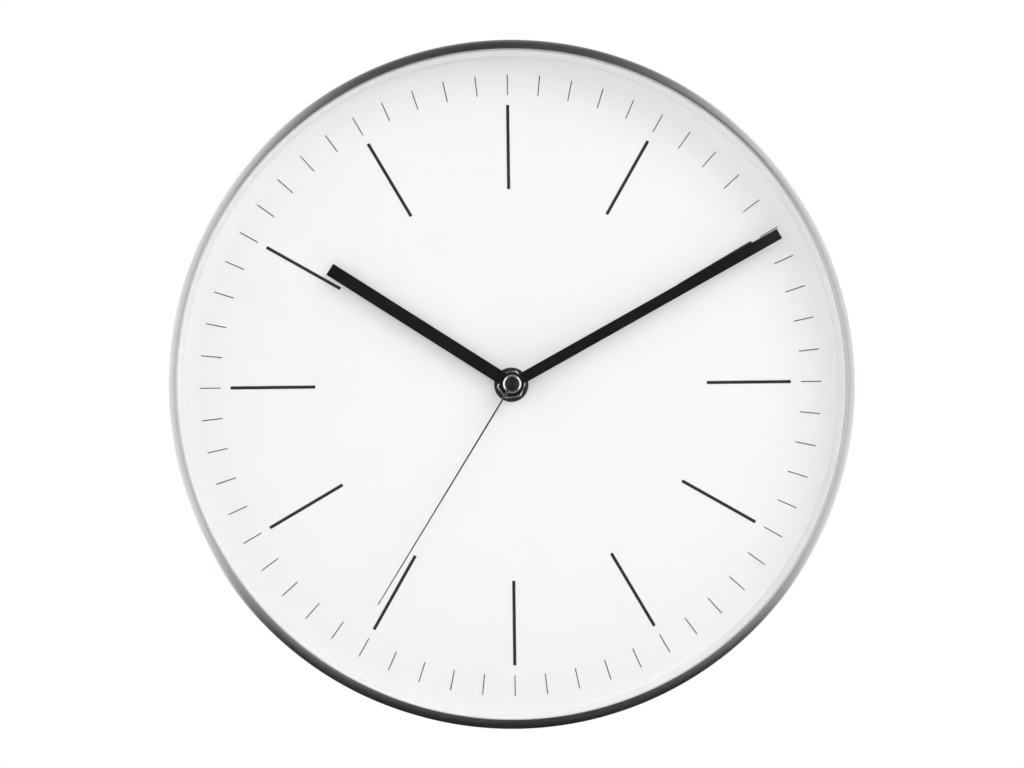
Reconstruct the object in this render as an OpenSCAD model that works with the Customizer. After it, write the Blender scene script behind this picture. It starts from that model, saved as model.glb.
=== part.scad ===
// Round quartz wall clock.
// The clock stands upright with its dial facing -Y. The origin is the centre of its
// back, in the wall plane, and +Z is up. Each module is drawn lying on its back, with
// x to the right, y towards 12 o'clock and z from the wall to the glass, and is then
// stood up by upright().

/* [Case] */
// Outside diameter of the steel case
case_d = 275; // [272:0.5:300]
// Depth from the wall to the front of the lip
case_depth = 40; // [39.5:0.5:46]
// Thickness of the steel sheet
sheet = 0.9; // [0.7:0.1:1.1]
// Width of the rolled lip, seen from the front
lip_w = 3.7; // [3.5:0.1:4.2]
// Thickness of the glass
glass_t = 2.5; // [2:0.1:2.6]
// How far the middle of the glass stands in front of its edge
glass_rise = 3.6; // [3:0.1:4]

/* [Dial] */
// Front of the dial, measured from the wall
dial_front = 24.6; // [24.6:0.1:24.8]
// Thickness of the dial sheet
dial_t = 0.6; // [0.5:0.1:0.8]
// Radius at which the reflector ring meets the dial
dial_edge_r = 131.4; // [129:0.1:131.5]
// Width of an hour mark
hour_mark_w = 1.26; // [0.8:0.02:2]
// Inner end of the hour marks
hour_mark_in = 78.4; // [60:0.2:90]
// Outer end of the hour marks
hour_mark_out = 112.2; // [100:0.2:113]
// Width of a minute tick
minute_mark_w = 0.38; // [0.3:0.01:0.6]
// Inner end of the minute ticks
minute_mark_in = 116.2; // [114:0.2:118]
// Outer end of the minute ticks
minute_mark_out = 124.4; // [120:0.2:126]

/* [Hands] */
// Angle of the hour hand, clockwise from 12
hour_angle = 303; // [0:1:359]
// Angle of the minute hand, clockwise from 12
minute_angle = 61.3; // [0:0.1:359.9]
// Angle of the second hand, clockwise from 12
second_angle = 212; // [0:1:359]
// Length of the hour hand from the centre to its tip
hour_hand_l = 86; // [60:1:100]
// Length of the minute hand from the centre to its tip
minute_hand_l = 123; // [100:1:126]
// Length of the second hand from the centre to its tip
second_hand_l = 103; // [80:1:120]
// Width of the hour hand
hour_hand_w = 5.2; // [3:0.1:6]
// Width of the minute hand
minute_hand_w = 4.4; // [3:0.1:5]

/* [Movement] */
// Side of the square movement case
movement_w = 56; // [56:0.1:58]
// Depth of the movement case
movement_depth = 16; // [16:0.1:16.4]
// Outside radius of the threaded bush
bush_r = 4; // [3.9:0.1:4.1]
// Width across the flats of the nut
nut_flats = 10.2; // [10:0.1:11]

/* [Hanger] */
// Radius of the keyhole's round entry
keyhole_r = 4.5; // [4:0.1:5]
// Width of the keyhole's slot
keyhole_slot_w = 4.2; // [3.6:0.1:4.6]
// Thickness of the hanger plate
hanger_t = 1.2; // [1:0.1:1.5]

/* [Hidden] */

$fn = 96;
round_fn = 240;   // large rings and discs
dome_fn = 720;    // circle that the glass is cut from
cut = 1;          // how far a cutting tool runs past what it cuts
fit = 0.05;       // radial clearance of a running fit
snug = 0.02;      // radial clearance of a fixed fit

// Case
case_r = case_d / 2;
bore_r = case_r - sheet;
lip_in_r = case_r - lip_w;
lip_out_bend = 3.2;
lip_in_bend = lip_w - lip_out_bend;
lip_return = 2.8;
back_bend = 1.5;
inner_r = bore_r - 0.2;
skirt_t = 2;
crimp_in_r = inner_r - skirt_t + 0.2;

// Glass and its seal
dome_r = (lip_in_r * lip_in_r + glass_rise * glass_rise) / (2 * glass_rise);
dome_centre = case_depth - dome_r;
seal_front = case_depth - lip_return;
seal_back = case_depth - glass_rise + 0.1;
seal_in_r = lip_in_r + 0.1;
glass_edge_back = dome_centre + sqrt(pow(dome_r - glass_t, 2) - inner_r * inner_r);

// Reflector ring
reflector_front = glass_edge_back - fit;
reflector_in_r = lip_in_r - 0.6;
reflector_wall = 1.6;

// Dial, its board and the printed marks
dial_back = dial_front - dial_t;
dial_r = inner_r - 0.2;
board_t = 2.4;
board_back = dial_back - board_t;
board_r = inner_r - 0.2;
hour_print_t = 0.08;
minute_print_t = 0.05;

// Back shell
plate_back = 6;
plate_front = 8;
heel_step = 0.7;
shell_in_r = inner_r - skirt_t;
window_w = movement_w + 5;
window_wall = 2;
window_wall_front = 14;
rib_count = 8;
rib_w = 1.6;
rib_front = 10.5;
post_count = 6;
post_circle_r = 118;
post_r = 4;
shell_screw_r = 1.4;
shell_screw_grip = 1.8;
screw_head_h = 1.6;
screw_head_r = 2.9;
screw_slot_w = 0.7;
screw_slot_d = 0.8;

// Hanger, whose keyhole entry is below its slot
hanger_w = 34;
hanger_h = 40;
hanger_y = 108;
keyhole_y = 102;
keyhole_rise = 10;
hanger_back = plate_back - hanger_t;
hanger_screw_x = 12.5;
hanger_screw_r = 1.4;
hanger_screw_tip = 10.5;
hanger_boss_r = 3;
hanger_boss_front = 11.5;
hanger_window_w = 15;
hanger_window_low = 95;
hanger_window_high = 118;

// Bumpers
bumper_r = 6;
bumper_x = 45;
bumper_y = -112;

// Movement case. Its shaft is at the middle of the square.
washer_gap = 1;
movement_front = board_back - washer_gap;
movement_back = movement_front - movement_depth;
movement_wall = 1.2;
movement_face = 1;
movement_corner = 3;
inside_w = movement_w / 2 - movement_wall;
ceiling = movement_front - movement_face;
cover_front = movement_back + 1.4;
divider_top = -10.4;
divider_bottom = -11.6;

// Hand stack, from the dial forwards
washer_r = 6.9;
washer_t = 0.5;
nut_h = 2.4;
nut_turn = 10;
bush_front = dial_front + 3.4;
bush_flange_r = 5.2;
bush_flange_t = 1;
hour_tube_r = 2.55;
minute_tube_r = 1.6;
second_arbor_r = 0.5;
blade_t = 0.5;
hour_blade = dial_front + 4.3;
minute_blade = dial_front + 6.8;
second_blade = dial_front + 9.2;
collar_drop = 0.5;
collar_rise = 0.4;
hour_hub_r = 5;
minute_hub_r = 4.8;
second_hub_r = 3.7;
second_blade_t = 0.3;
second_blade_root_w = 1.7;
second_blade_waist_w = 0.74;
second_blade_waist_at = 8;
second_blade_tip_w = 0.42;
cap_r = 2.85;
cap_h = 1;

// Wheel train: teeth, module and centre distance of each pair
third_pinion_teeth = 8;
centre_teeth = 60;
centre_module = 9 / 34;
second_pinion_teeth = 8;
third_teeth = 64;
third_module = 0.25;
fifth_pinion_teeth = 10;
second_teeth = 60;
second_module = 0.26;
rotor_teeth = 8;
fifth_teeth = 40;
fifth_module = 0.3;
cannon_teeth = 10;
minute_teeth = 30;
minute_pinion_teeth = 8;
hour_teeth = 32;
motion_module = 0.5;
knob_teeth = 12;

third_distance = (third_teeth + second_pinion_teeth) / 2 * third_module;
fifth_distance = (second_teeth + fifth_pinion_teeth) / 2 * second_module;
rotor_distance = (fifth_teeth + rotor_teeth) / 2 * fifth_module;
minute_distance = (minute_teeth + cannon_teeth) / 2 * motion_module;
knob_distance = (minute_teeth + knob_teeth) / 2 * motion_module;

// Directions between the arbors, anticlockwise from the right
third_dir = 155;
fifth_dir = 25;
rotor_dir = 15;
minute_dir = 100;
knob_dir = minute_dir + 18;

function polar(r, a) = [r * cos(a), r * sin(a)];
third_at = polar(third_distance, third_dir);
fifth_at = polar(fifth_distance, fifth_dir);
rotor_at = fifth_at + polar(rotor_distance, rotor_dir);
minute_at = polar(minute_distance, minute_dir);
knob_at = minute_at + polar(knob_distance, knob_dir);

// Levels inside the movement, measured from its back
function level(h) = movement_back + h;
arbor_back = level(0.6);
pivot_r = 0.4;
pivot_hole_r = pivot_r + fit;
wheel_t = 0.8;
second_wheel_at = level(2.8);
third_wheel_at = level(4.6);
fifth_wheel_at = level(4.6);
centre_wheel_at = level(7.6);
centre_wheel_t = 1;
train_plate_at = level(9.1);
train_plate_t = 0.6;
minute_wheel_at = level(10);
hour_wheel_at = level(12);
motion_wheel_t = 1.2;
plate_left = -18.5;
plate_right = 20.5;
plate_low = -9.6;
plate_high = 12;
plate_screw_at = [[-16.6, 10], [-16.6, -7.8], [18.6, -7.8]];
plate_screw_r = 0.8;
plate_screw_head_r = 1.5;
plate_post_r = 1.8;

// Motor
magnet_r = 3;
magnet_at = level(6.6);
magnet_h = 2.2;
stator_at = level(7.8);
stator_t = 1;
stator_pole_r = 5.2;
stator_hole_r = 3.5;
leg_w = 3.5;
leg_left = 1.5;
leg_right = 26;
leg_bend_y = 11;
leg_top = 22;
stator_post_x = 6;
stator_post_y = 2.3;
stator_post_r = 1.15;
coil_y = 20;
core_w = 3.4;
bobbin_left = 5.6;
bobbin_right = 21.9;
bobbin_flange_t = 1;
bobbin_flange_w = 9;
winding_r = 4;
rivet_r = 0.8;
rivet_head_r = 1.3;
rivet_head_t = 0.5;

// Circuit board
board_left = -26.4;
board_right = -12;
board_low = 13.2;
board_high = 26.2;
circuit_at = level(7.4);
circuit_t = 0.8;
circuit_stud_r = 1.2;

// Battery bay and contacts
cell_r = 7.2;
cell_left = -24.2;
cell_body_l = 49;
cell_nub_r = 2.7;
cell_nub_l = 1.5;
cell_y = (divider_bottom - inside_w) / 2;
cell_z = movement_back + 7.45;
contact_t = 0.4;
contact_w = 11.6;
leaf_r = 8;
leaf_w = 8;
leaf_reach = 2.1;
strip_back = level(1.9);
strip_front = level(4.1);

// Setting knob
knob_r = 5;
knob_flutes = 24;
knob_back = movement_back - 3.4;
knob_front = movement_back - 0.4;
spindle_r = 1.2;
spindle_tip_r = 0.7;

// ---- helpers ----

module upright() {
    rotate([90, 0, 0]) children();
}

module disc(r, low, high, fn = 96) {
    translate([0, 0, low]) cylinder(r = r, h = high - low, $fn = fn);
}

module tube(outer, inner, low, high, fn = 96) {
    difference() {
        disc(outer, low, high, fn);
        disc(inner, low - cut, high + cut, fn);
    }
}

module block(x, y, z) {
    translate([x[0], y[0], z[0]]) cube([x[1] - x[0], y[1] - y[0], z[1] - z[0]]);
}

// A quarter of a round band, or of a full disc where t is over r. dx and dy say which
// quarter.
module quarter_band(r, t, dx, dy) {
    intersection() {
        difference() {
            circle(r);
            if (t < r) circle(r - t);
        }
        translate([dx > 0 ? 0 : -r, dy > 0 ? 0 : -r]) square(r);
    }
}

module rounded_square(w, h, r) {
    square([w - 2 * r, h], center = true);
    square([w, h - 2 * r], center = true);
    for (x = [-1, 1], y = [-1, 1])
        translate([x * (w / 2 - r), y * (h / 2 - r)]) circle(r);
}

// Turns clockwise from 12 o'clock, as a hand does.
module clockwise(angle) {
    rotate([0, 0, -angle]) children();
}

module at(place) {
    translate([place[0], place[1], 0]) children();
}

// Toothed outline. root, middle and tip are a tooth's widths at its foot, at the pitch
// circle and at its top, as shares of the pitch.
function tooth(a, pitch, radii, widths) = [
    for (side = [-1, 1], k = side < 0 ? [0, 1, 2] : [2, 1, 0])
        polar(radii[k], a + side * widths[k] * pitch / 2)
];

module toothed(teeth, size, widths, turn) {
    pitch = 360 / teeth;
    pitch_r = teeth * size / 2;
    radii = [pitch_r - 1.2 * size, pitch_r, pitch_r + 0.85 * size];
    polygon([for (i = [0 : teeth - 1]) each tooth(turn + i * pitch, pitch, radii, widths)]);
}

wheel_tooth = [0.6, 0.38, 0.17];
leaf_tooth = [0.5, 0.36, 0.16];

// A wheel whose first tooth points along turn.
module wheel(teeth, size, low, high, turn = 0) {
    translate([0, 0, low])
        linear_extrude(high - low) toothed(teeth, size, wheel_tooth, turn);
}

module pinion(teeth, size, low, high, turn = 0) {
    translate([0, 0, low])
        linear_extrude(high - low) toothed(teeth, size, leaf_tooth, turn);
}

// The turn that puts a gap of the second gear where the first gear's tooth points.
function gap_turn(dir, teeth) = dir + 180 + 180 / teeth;

module pan_screw(shank_r, head_r, head_h, head_back, tip) {
    difference() {
        union() {
            disc(head_r, head_back, head_back + head_h, 48);
            disc(shank_r, head_back + head_h, tip, 48);
        }
        for (a = [0, 90])
            rotate([0, 0, a])
                translate([-head_r * 0.6, -screw_slot_w / 2, head_back - cut])
                    cube([head_r * 1.2, screw_slot_w, cut + screw_slot_d]);
    }
}

module on_posts() {
    for (i = [0 : post_count - 1]) at(polar(post_circle_r, i * 360 / post_count)) children();
}

// ---- case, glass and dial ----

module case_ring() {
    lip_x = lip_in_r + lip_in_bend;
    color("silver") upright() rotate_extrude($fn = round_fn) {
        translate([lip_x, case_depth - lip_out_bend]) quarter_band(lip_out_bend, sheet, 1, 1);
        translate([lip_x, case_depth - lip_in_bend]) quarter_band(lip_in_bend, sheet, -1, 1);
        translate([lip_in_r, seal_front]) square([sheet, lip_return - lip_in_bend]);
        translate([bore_r, back_bend]) square([sheet, case_depth - lip_out_bend - back_bend]);
        translate([case_r - back_bend, back_bend]) quarter_band(back_bend, sheet, 1, -1);
        translate([crimp_in_r, 0]) square([case_r - back_bend - crimp_in_r, sheet]);
    }
}

module lens_seal() {
    color("dimgray") upright() tube(inner_r, seal_in_r, seal_back, seal_front, round_fn);
}

module glass_lens() {
    color("aliceblue", 0.3) upright() rotate_extrude($fn = round_fn) intersection() {
        translate([0, dome_centre]) difference() {
            circle(dome_r, $fn = dome_fn);
            circle(dome_r - glass_t, $fn = dome_fn);
        }
        translate([0, reflector_front - cut]) square([inner_r, case_depth - reflector_front + 2 * cut]);
    }
}

module reflector_ring() {
    groove_r = dial_edge_r + reflector_wall;
    groove_top = reflector_front - reflector_wall;
    color("white") upright() rotate_extrude($fn = round_fn) difference() {
        polygon([
            [dial_edge_r, dial_front],
            [inner_r, dial_front],
            [inner_r, reflector_front],
            [reflector_in_r, reflector_front],
        ]);
        polygon([
            [groove_r, dial_front - cut],
            [shell_in_r, dial_front - cut],
            [shell_in_r, groove_top],
            [groove_r, dial_front],
        ]);
    }
}

module dial() {
    color("white") upright() tube(dial_r, bush_r + fit, dial_back, dial_front, round_fn);
}

module mark(w, inner, outer, t) {
    translate([-w / 2, inner, dial_front]) cube([w, outer - inner, t]);
}

module hour_marks() {
    color("dimgray") upright() for (i = [0 : 11])
        clockwise(i * 30) mark(hour_mark_w, hour_mark_in, hour_mark_out, hour_print_t);
}

module minute_marks() {
    color("dimgray") upright() for (i = [0 : 59])
        clockwise(i * 6) mark(minute_mark_w, minute_mark_in, minute_mark_out, minute_print_t);
}

module dial_board() {
    color("gainsboro") upright() difference() {
        tube(board_r, bush_r + fit, board_back, dial_back, round_fn);
        on_posts() disc(shell_screw_r + snug, board_back - cut, board_back + shell_screw_grip + 0.2);
    }
}

// ---- back ----

module back_shell() {
    color([0.12, 0.12, 0.13]) upright() difference() {
        union() {
            tube(inner_r, shell_in_r, back_bend, board_back, round_fn);
            tube(inner_r - heel_step, shell_in_r, sheet, back_bend, round_fn);
            disc(shell_in_r + cut, plate_back, plate_front, round_fn);
            for (i = [0 : rib_count - 1])
                rotate([0, 0, (i + 0.5) * 360 / rib_count])
                    block([0, shell_in_r + cut], [-rib_w / 2, rib_w / 2], [plate_front, rib_front]);
            on_posts() disc(post_r, plate_front, board_back);
            frame = window_w / 2 + window_wall;
            block([-frame, frame], [-frame, frame], [plate_front, window_wall_front]);
            for (side = [-1, 1])
                translate([side * hanger_screw_x, hanger_y, 0])
                    disc(hanger_boss_r, plate_front, hanger_boss_front);
        }
        half = window_w / 2;
        block([-half, half], [-half, half], [plate_back - cut, window_wall_front + cut]);
        block(
            [-hanger_window_w / 2, hanger_window_w / 2],
            [hanger_window_low, hanger_window_high],
            [plate_back - cut, plate_front + cut]);
        on_posts() disc(shell_screw_r + snug, plate_back - cut, board_back + cut);
        for (side = [-1, 1])
            translate([side * hanger_screw_x, hanger_y, 0])
                disc(hanger_screw_r + snug, plate_back - cut, hanger_screw_tip + 0.2);
    }
}

module shell_screws() {
    color("gray") upright() on_posts()
        pan_screw(shell_screw_r, screw_head_r, screw_head_h,
            plate_back - screw_head_h, board_back + shell_screw_grip);
}

module hanger_plate() {
    color("silver") upright() difference() {
        translate([0, hanger_y, hanger_back])
            linear_extrude(hanger_t) rounded_square(hanger_w, hanger_h, 5);
        translate([0, keyhole_y, 0]) {
            disc(keyhole_r, hanger_back - cut, plate_back + cut);
            block(
                [-keyhole_slot_w / 2, keyhole_slot_w / 2],
                [0, keyhole_rise],
                [hanger_back - cut, plate_back + cut]);
            translate([0, keyhole_rise, 0])
                disc(keyhole_slot_w / 2, hanger_back - cut, plate_back + cut);
        }
        for (side = [-1, 1])
            translate([side * hanger_screw_x, hanger_y, 0])
                disc(hanger_screw_r + snug, hanger_back - cut, plate_back + cut);
    }
}

module hanger_screws() {
    color("gray") upright() for (side = [-1, 1])
        translate([side * hanger_screw_x, hanger_y, 0])
            pan_screw(hanger_screw_r, screw_head_r, screw_head_h,
                hanger_back - screw_head_h, hanger_screw_tip);
}

module wall_bumpers() {
    color("dimgray") upright() for (side = [-1, 1])
        translate([side * bumper_x, bumper_y, 0]) disc(bumper_r, 0, plate_back);
}

// ---- clamp that holds the movement to the dial ----

module rubber_washer() {
    color("black") upright() tube(9, bush_r + fit, movement_front, board_back);
}

module dial_washer() {
    color([0.15, 0.15, 0.15]) upright() tube(washer_r, bush_r + fit, dial_front, dial_front + washer_t);
}

module hex_nut() {
    nut_back = dial_front + washer_t;
    color([0.2, 0.2, 0.2]) upright() difference() {
        rotate([0, 0, nut_turn]) translate([0, 0, nut_back])
            cylinder(r = nut_flats / sqrt(3), h = nut_h, $fn = 6);
        disc(bush_r + snug, nut_back - cut, nut_back + nut_h + cut);
    }
}

module threaded_bush() {
    color("darkgoldenrod") upright() difference() {
        union() {
            disc(bush_r, ceiling - bush_flange_t, bush_front);
            disc(bush_flange_r, ceiling - bush_flange_t, ceiling);
        }
        disc(hour_tube_r + fit, ceiling - bush_flange_t - cut, bush_front + cut);
    }
}

// ---- hands and the wheels on their tubes ----

// A straight hand with a square end, a round hub and a collar behind it.
module straight_hand(angle, length, w, hub_r, tube_r, blade) {
    clockwise(angle) difference() {
        union() {
            block([-w / 2, w / 2], [0, length], [blade, blade + blade_t]);
            disc(hub_r, blade, blade + blade_t);
            disc(tube_r + 0.9, blade - collar_drop, blade + blade_t + collar_rise);
        }
        disc(tube_r + snug, blade - cut, blade + blade_t + cut);
    }
}

module hour_hand() {
    color([0.1, 0.1, 0.1]) upright()
        straight_hand(hour_angle, hour_hand_l, hour_hand_w, hour_hub_r, hour_tube_r, hour_blade);
}

module minute_hand() {
    color([0.1, 0.1, 0.1]) upright()
        straight_hand(
            minute_angle, minute_hand_l, minute_hand_w, minute_hub_r, minute_tube_r, minute_blade);
}

module hour_wheel() {
    color("gold") upright() difference() {
        union() {
            wheel(hour_teeth, motion_module, hour_wheel_at, hour_wheel_at + motion_wheel_t,
                gap_turn(minute_dir - 180, hour_teeth));
            disc(hour_tube_r, hour_wheel_at, hour_blade + blade_t + collar_rise);
        }
        disc(minute_tube_r + fit, hour_wheel_at - cut, hour_blade + blade_t + 2 * cut);
    }
}

module centre_wheel() {
    tube_back = centre_wheel_at - 1.2;
    tube_front = minute_blade + blade_t + collar_rise;
    color("khaki") upright() difference() {
        union() {
            wheel(centre_teeth, centre_module, centre_wheel_at, centre_wheel_at + centre_wheel_t,
                gap_turn(third_dir - 180, centre_teeth));
            disc(minute_tube_r, tube_back, tube_front);
        }
        disc(second_arbor_r + fit, tube_back - cut, tube_front + cut);
    }
}

module cannon_pinion() {
    color("gold") upright() difference() {
        pinion(cannon_teeth, motion_module,
            train_plate_at + train_plate_t + 0.2, hour_wheel_at - 0.4, minute_dir);
        disc(minute_tube_r + snug, train_plate_at, hour_wheel_at);
    }
}

module second_hand() {
    color([0.25, 0.25, 0.26]) upright() clockwise(second_angle) difference() {
        union() {
            translate([0, 0, second_blade]) linear_extrude(second_blade_t) polygon([
                [-second_blade_root_w / 2, 0],
                [second_blade_root_w / 2, 0],
                [second_blade_waist_w / 2, second_blade_waist_at],
                [second_blade_tip_w / 2, second_hand_l],
                [-second_blade_tip_w / 2, second_hand_l],
                [-second_blade_waist_w / 2, second_blade_waist_at],
            ]);
            disc(second_hub_r, second_blade, second_blade + second_blade_t);
            disc(1.1, second_blade - 0.7, second_blade + second_blade_t);
        }
        disc(second_arbor_r + snug, second_blade - cut, second_blade + cut);
    }
}

module hub_cap() {
    cap_back = second_blade + second_blade_t;
    color([0.08, 0.08, 0.08]) upright() difference() {
        disc(cap_r, cap_back, cap_back + cap_h);
        disc(second_arbor_r + snug, cap_back - cut, cap_back + cap_h - 0.3);
    }
}

module seconds_wheel() {
    arbor_front = second_blade + second_blade_t + cap_h - 0.4;
    color("khaki") upright() {
        wheel(second_teeth, second_module, second_wheel_at, second_wheel_at + wheel_t, fifth_dir);
        pinion(second_pinion_teeth, third_module,
            second_wheel_at + wheel_t, third_wheel_at + wheel_t + 0.3,
            gap_turn(third_dir - 180, second_pinion_teeth));
        disc(second_arbor_r, arbor_back, arbor_front);
    }
}

module minute_wheel() {
    pinion_front = hour_wheel_at + motion_wheel_t + 0.2;
    color("khaki") upright() at(minute_at) difference() {
        union() {
            wheel(minute_teeth, motion_module, minute_wheel_at, minute_wheel_at + motion_wheel_t,
                gap_turn(minute_dir, minute_teeth));
            pinion(minute_pinion_teeth, motion_module,
                minute_wheel_at + motion_wheel_t, pinion_front, minute_dir + 180);
        }
        disc(0.6 + fit, minute_wheel_at - cut, pinion_front + cut);
    }
}

module third_wheel() {
    color("khaki") upright() at(third_at) {
        wheel(third_teeth, third_module, third_wheel_at, third_wheel_at + wheel_t, third_dir + 180);
        pinion(third_pinion_teeth, centre_module,
            third_wheel_at + wheel_t, centre_wheel_at + centre_wheel_t + 0.2, third_dir + 180);
        disc(pivot_r, arbor_back, train_plate_at + train_plate_t);
    }
}

module fifth_wheel() {
    color("khaki") upright() at(fifth_at) {
        pinion(fifth_pinion_teeth, second_module,
            second_wheel_at - 0.3, fifth_wheel_at, gap_turn(fifth_dir, fifth_pinion_teeth));
        wheel(fifth_teeth, fifth_module, fifth_wheel_at, fifth_wheel_at + wheel_t, rotor_dir);
        disc(pivot_r, arbor_back, train_plate_at + train_plate_t);
    }
}

module rotor_pinion() {
    color("gold") upright() at(rotor_at) {
        pinion(rotor_teeth, fifth_module,
            fifth_wheel_at - 0.3, fifth_wheel_at + wheel_t + 0.3, gap_turn(rotor_dir, rotor_teeth));
        disc(pivot_r, arbor_back, train_plate_at + train_plate_t);
    }
}

module rotor_magnet() {
    color("dimgray") upright() at(rotor_at)
        tube(magnet_r, pivot_r + snug, magnet_at, magnet_at + magnet_h);
}

// ---- movement case ----

module movement_outline() {
    rounded_square(movement_w, movement_w, movement_corner);
}

// A bearing boss that hangs from the front wall.
module ceiling_boss(place, r, low, hole_r) {
    at(place) tube(r, hole_r, low, ceiling + movement_face / 2);
}

module movement_case() {
    knob_boss_back = hour_wheel_at + motion_wheel_t - 0.6;
    color([0.13, 0.13, 0.14]) upright() difference() {
        union() {
            difference() {
                translate([0, 0, movement_back])
                    linear_extrude(movement_depth) movement_outline();
                block([-inside_w, inside_w], [divider_top, inside_w], [movement_back - cut, ceiling]);
                block([-inside_w, inside_w], [-inside_w, divider_bottom],
                    [movement_back - cut, ceiling]);
                block([-movement_w, movement_w], [(divider_top + divider_bottom) / 2, movement_w],
                    [movement_back - cut, cover_front]);
                for (side = [-1, 1])
                    translate([side * (inside_w - contact_t / 2), 0, 0])
                        block([-contact_t, contact_t] * 0.6, [divider_bottom - cut, divider_top + cut],
                            [cell_z - contact_w / 2 - fit, cell_z + contact_w / 2 + fit]);
            }
            at(minute_at) disc(0.6, minute_wheel_at - 0.1, ceiling + movement_face / 2);
            at(minute_at) disc(1.6, hour_wheel_at + motion_wheel_t + 0.4, ceiling + movement_face / 2);
            ceiling_boss(knob_at, 1.8, knob_boss_back, spindle_tip_r + fit);
            for (place = plate_screw_at)
                ceiling_boss(place, plate_post_r, train_plate_at + train_plate_t, plate_screw_r + snug);
            for (x = [board_left + 2.4, board_right - 2.4])
                at([x, board_high - 2.2])
                    disc(circuit_stud_r, circuit_at + circuit_t, ceiling + movement_face / 2);
            for (side = [-1, 1])
                at([rotor_at[0] + side * stator_post_x, leg_bend_y + stator_post_y])
                    disc(stator_post_r, stator_at + stator_t, ceiling + movement_face / 2);
        }
        disc(bush_r + snug, ceiling - cut, movement_front + cut);
    }
}

module cover_bearing(place) {
    at(place) disc(pivot_hole_r, arbor_back - 0.1, cover_front + cut);
}

module movement_cover() {
    color([0.16, 0.16, 0.17]) upright() difference() {
        translate([0, 0, movement_back]) linear_extrude(cover_front - movement_back) intersection() {
            movement_outline();
            translate([-movement_w, (divider_top + divider_bottom) / 2])
                square([2 * movement_w, movement_w]);
        }
        cover_bearing(third_at);
        cover_bearing(fifth_at);
        cover_bearing(rotor_at);
        disc(second_arbor_r + fit, arbor_back - 0.1, cover_front + cut);
        at(knob_at) disc(spindle_r + fit, movement_back - cut, cover_front + cut);
    }
}

module train_plate() {
    color("wheat") upright() difference() {
        block([plate_left, plate_right], [plate_low, plate_high],
            [train_plate_at, train_plate_at + train_plate_t]);
        disc(minute_tube_r + fit, train_plate_at - cut, minute_wheel_at);
        for (place = [third_at, fifth_at, rotor_at])
            at(place) disc(pivot_hole_r, train_plate_at - cut, minute_wheel_at);
        for (place = plate_screw_at)
            at(place) disc(plate_screw_r + snug, train_plate_at - cut, minute_wheel_at);
    }
}

module plate_screws() {
    head_back = train_plate_at - 1;
    color("silver") upright() for (place = plate_screw_at)
        at(place) pan_screw(plate_screw_r, plate_screw_head_r, 1, head_back, ceiling - 1);
}

// ---- motor ----

module stator() {
    left_x = rotor_at[0] - stator_pole_r;
    right_x = rotor_at[0] + stator_pole_r;
    levels = [stator_at, stator_at + stator_t];
    bend = [leg_bend_y, leg_bend_y + leg_w];
    color("lightsteelblue") upright() difference() {
        union() {
            at(rotor_at) disc(stator_pole_r, levels[0], levels[1]);
            block([left_x, left_x + leg_w], [rotor_at[1] + 2, bend[1]], levels);
            block([right_x - leg_w, right_x], [rotor_at[1] + 2, bend[1]], levels);
            block([leg_left, left_x + leg_w], bend, levels);
            block([right_x - leg_w, leg_right], bend, levels);
            block([leg_left, leg_left + leg_w], [leg_bend_y, leg_top], levels);
            block([leg_right - leg_w, leg_right], [leg_bend_y, leg_top], levels);
        }
        at(rotor_at) disc(stator_hole_r, levels[0] - cut, levels[1] + cut);
        on_core_ends() disc(rivet_r + snug, levels[0] - cut, levels[1] + cut);
    }
}

module on_core_ends() {
    for (x = [leg_left + leg_w / 2, leg_right - leg_w / 2]) at([x, coil_y]) children();
}

module coil_core() {
    core_back = stator_at + stator_t;
    color("lightsteelblue") upright() difference() {
        block([leg_left, leg_right], [coil_y - core_w / 2, coil_y + core_w / 2],
            [core_back, core_back + stator_t]);
        on_core_ends() disc(rivet_r + snug, core_back - cut, core_back + stator_t + cut);
    }
}

// Lays a round piece along x, through the middle of the coil core.
module along_coil(left) {
    translate([left, coil_y, stator_at + 1.5 * stator_t]) rotate([0, 90, 0]) children();
}

module coil_bobbin() {
    length = bobbin_right - bobbin_left;
    half = bobbin_flange_w / 2;
    color("white") upright() along_coil(bobbin_left) difference() {
        union() {
            disc(2.6, 0, length);
            for (x = [0, length - bobbin_flange_t])
                block([-half, half], [-half, half], [x, x + bobbin_flange_t]);
        }
        block([-stator_t / 2, stator_t / 2] * 1.1, [-core_w / 2, core_w / 2] * 1.03,
            [-cut, length + cut]);
    }
}

module coil_winding() {
    length = bobbin_right - bobbin_left - 2 * bobbin_flange_t;
    color("sienna") upright() along_coil(bobbin_left + bobbin_flange_t)
        tube(winding_r, 2.6 + snug, 0, length);
}

module coil_rivets() {
    color("silver") upright() on_core_ends() {
        disc(rivet_r, stator_at, stator_at + 2 * stator_t);
        disc(rivet_head_r, stator_at - rivet_head_t, stator_at);
        disc(rivet_head_r, stator_at + 2 * stator_t, stator_at + 2 * stator_t + rivet_head_t);
    }
}

// ---- electronics and cell ----

module circuit_board() {
    color("seagreen") upright()
        block([board_left, board_right], [board_low, board_high],
            [circuit_at, circuit_at + circuit_t]);
}

module quartz_crystal() {
    crystal_r = 1.5;
    color("silver") upright()
        translate([board_left + 3, board_low + 3, circuit_at - crystal_r])
            rotate([0, 90, 0]) cylinder(r = crystal_r, h = 8, $fn = 48);
}

module driver_chip() {
    color("black") upright()
        at([board_left + 7, board_high - 4.4]) disc(2.6, circuit_at - 1.2, circuit_at);
}

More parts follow.
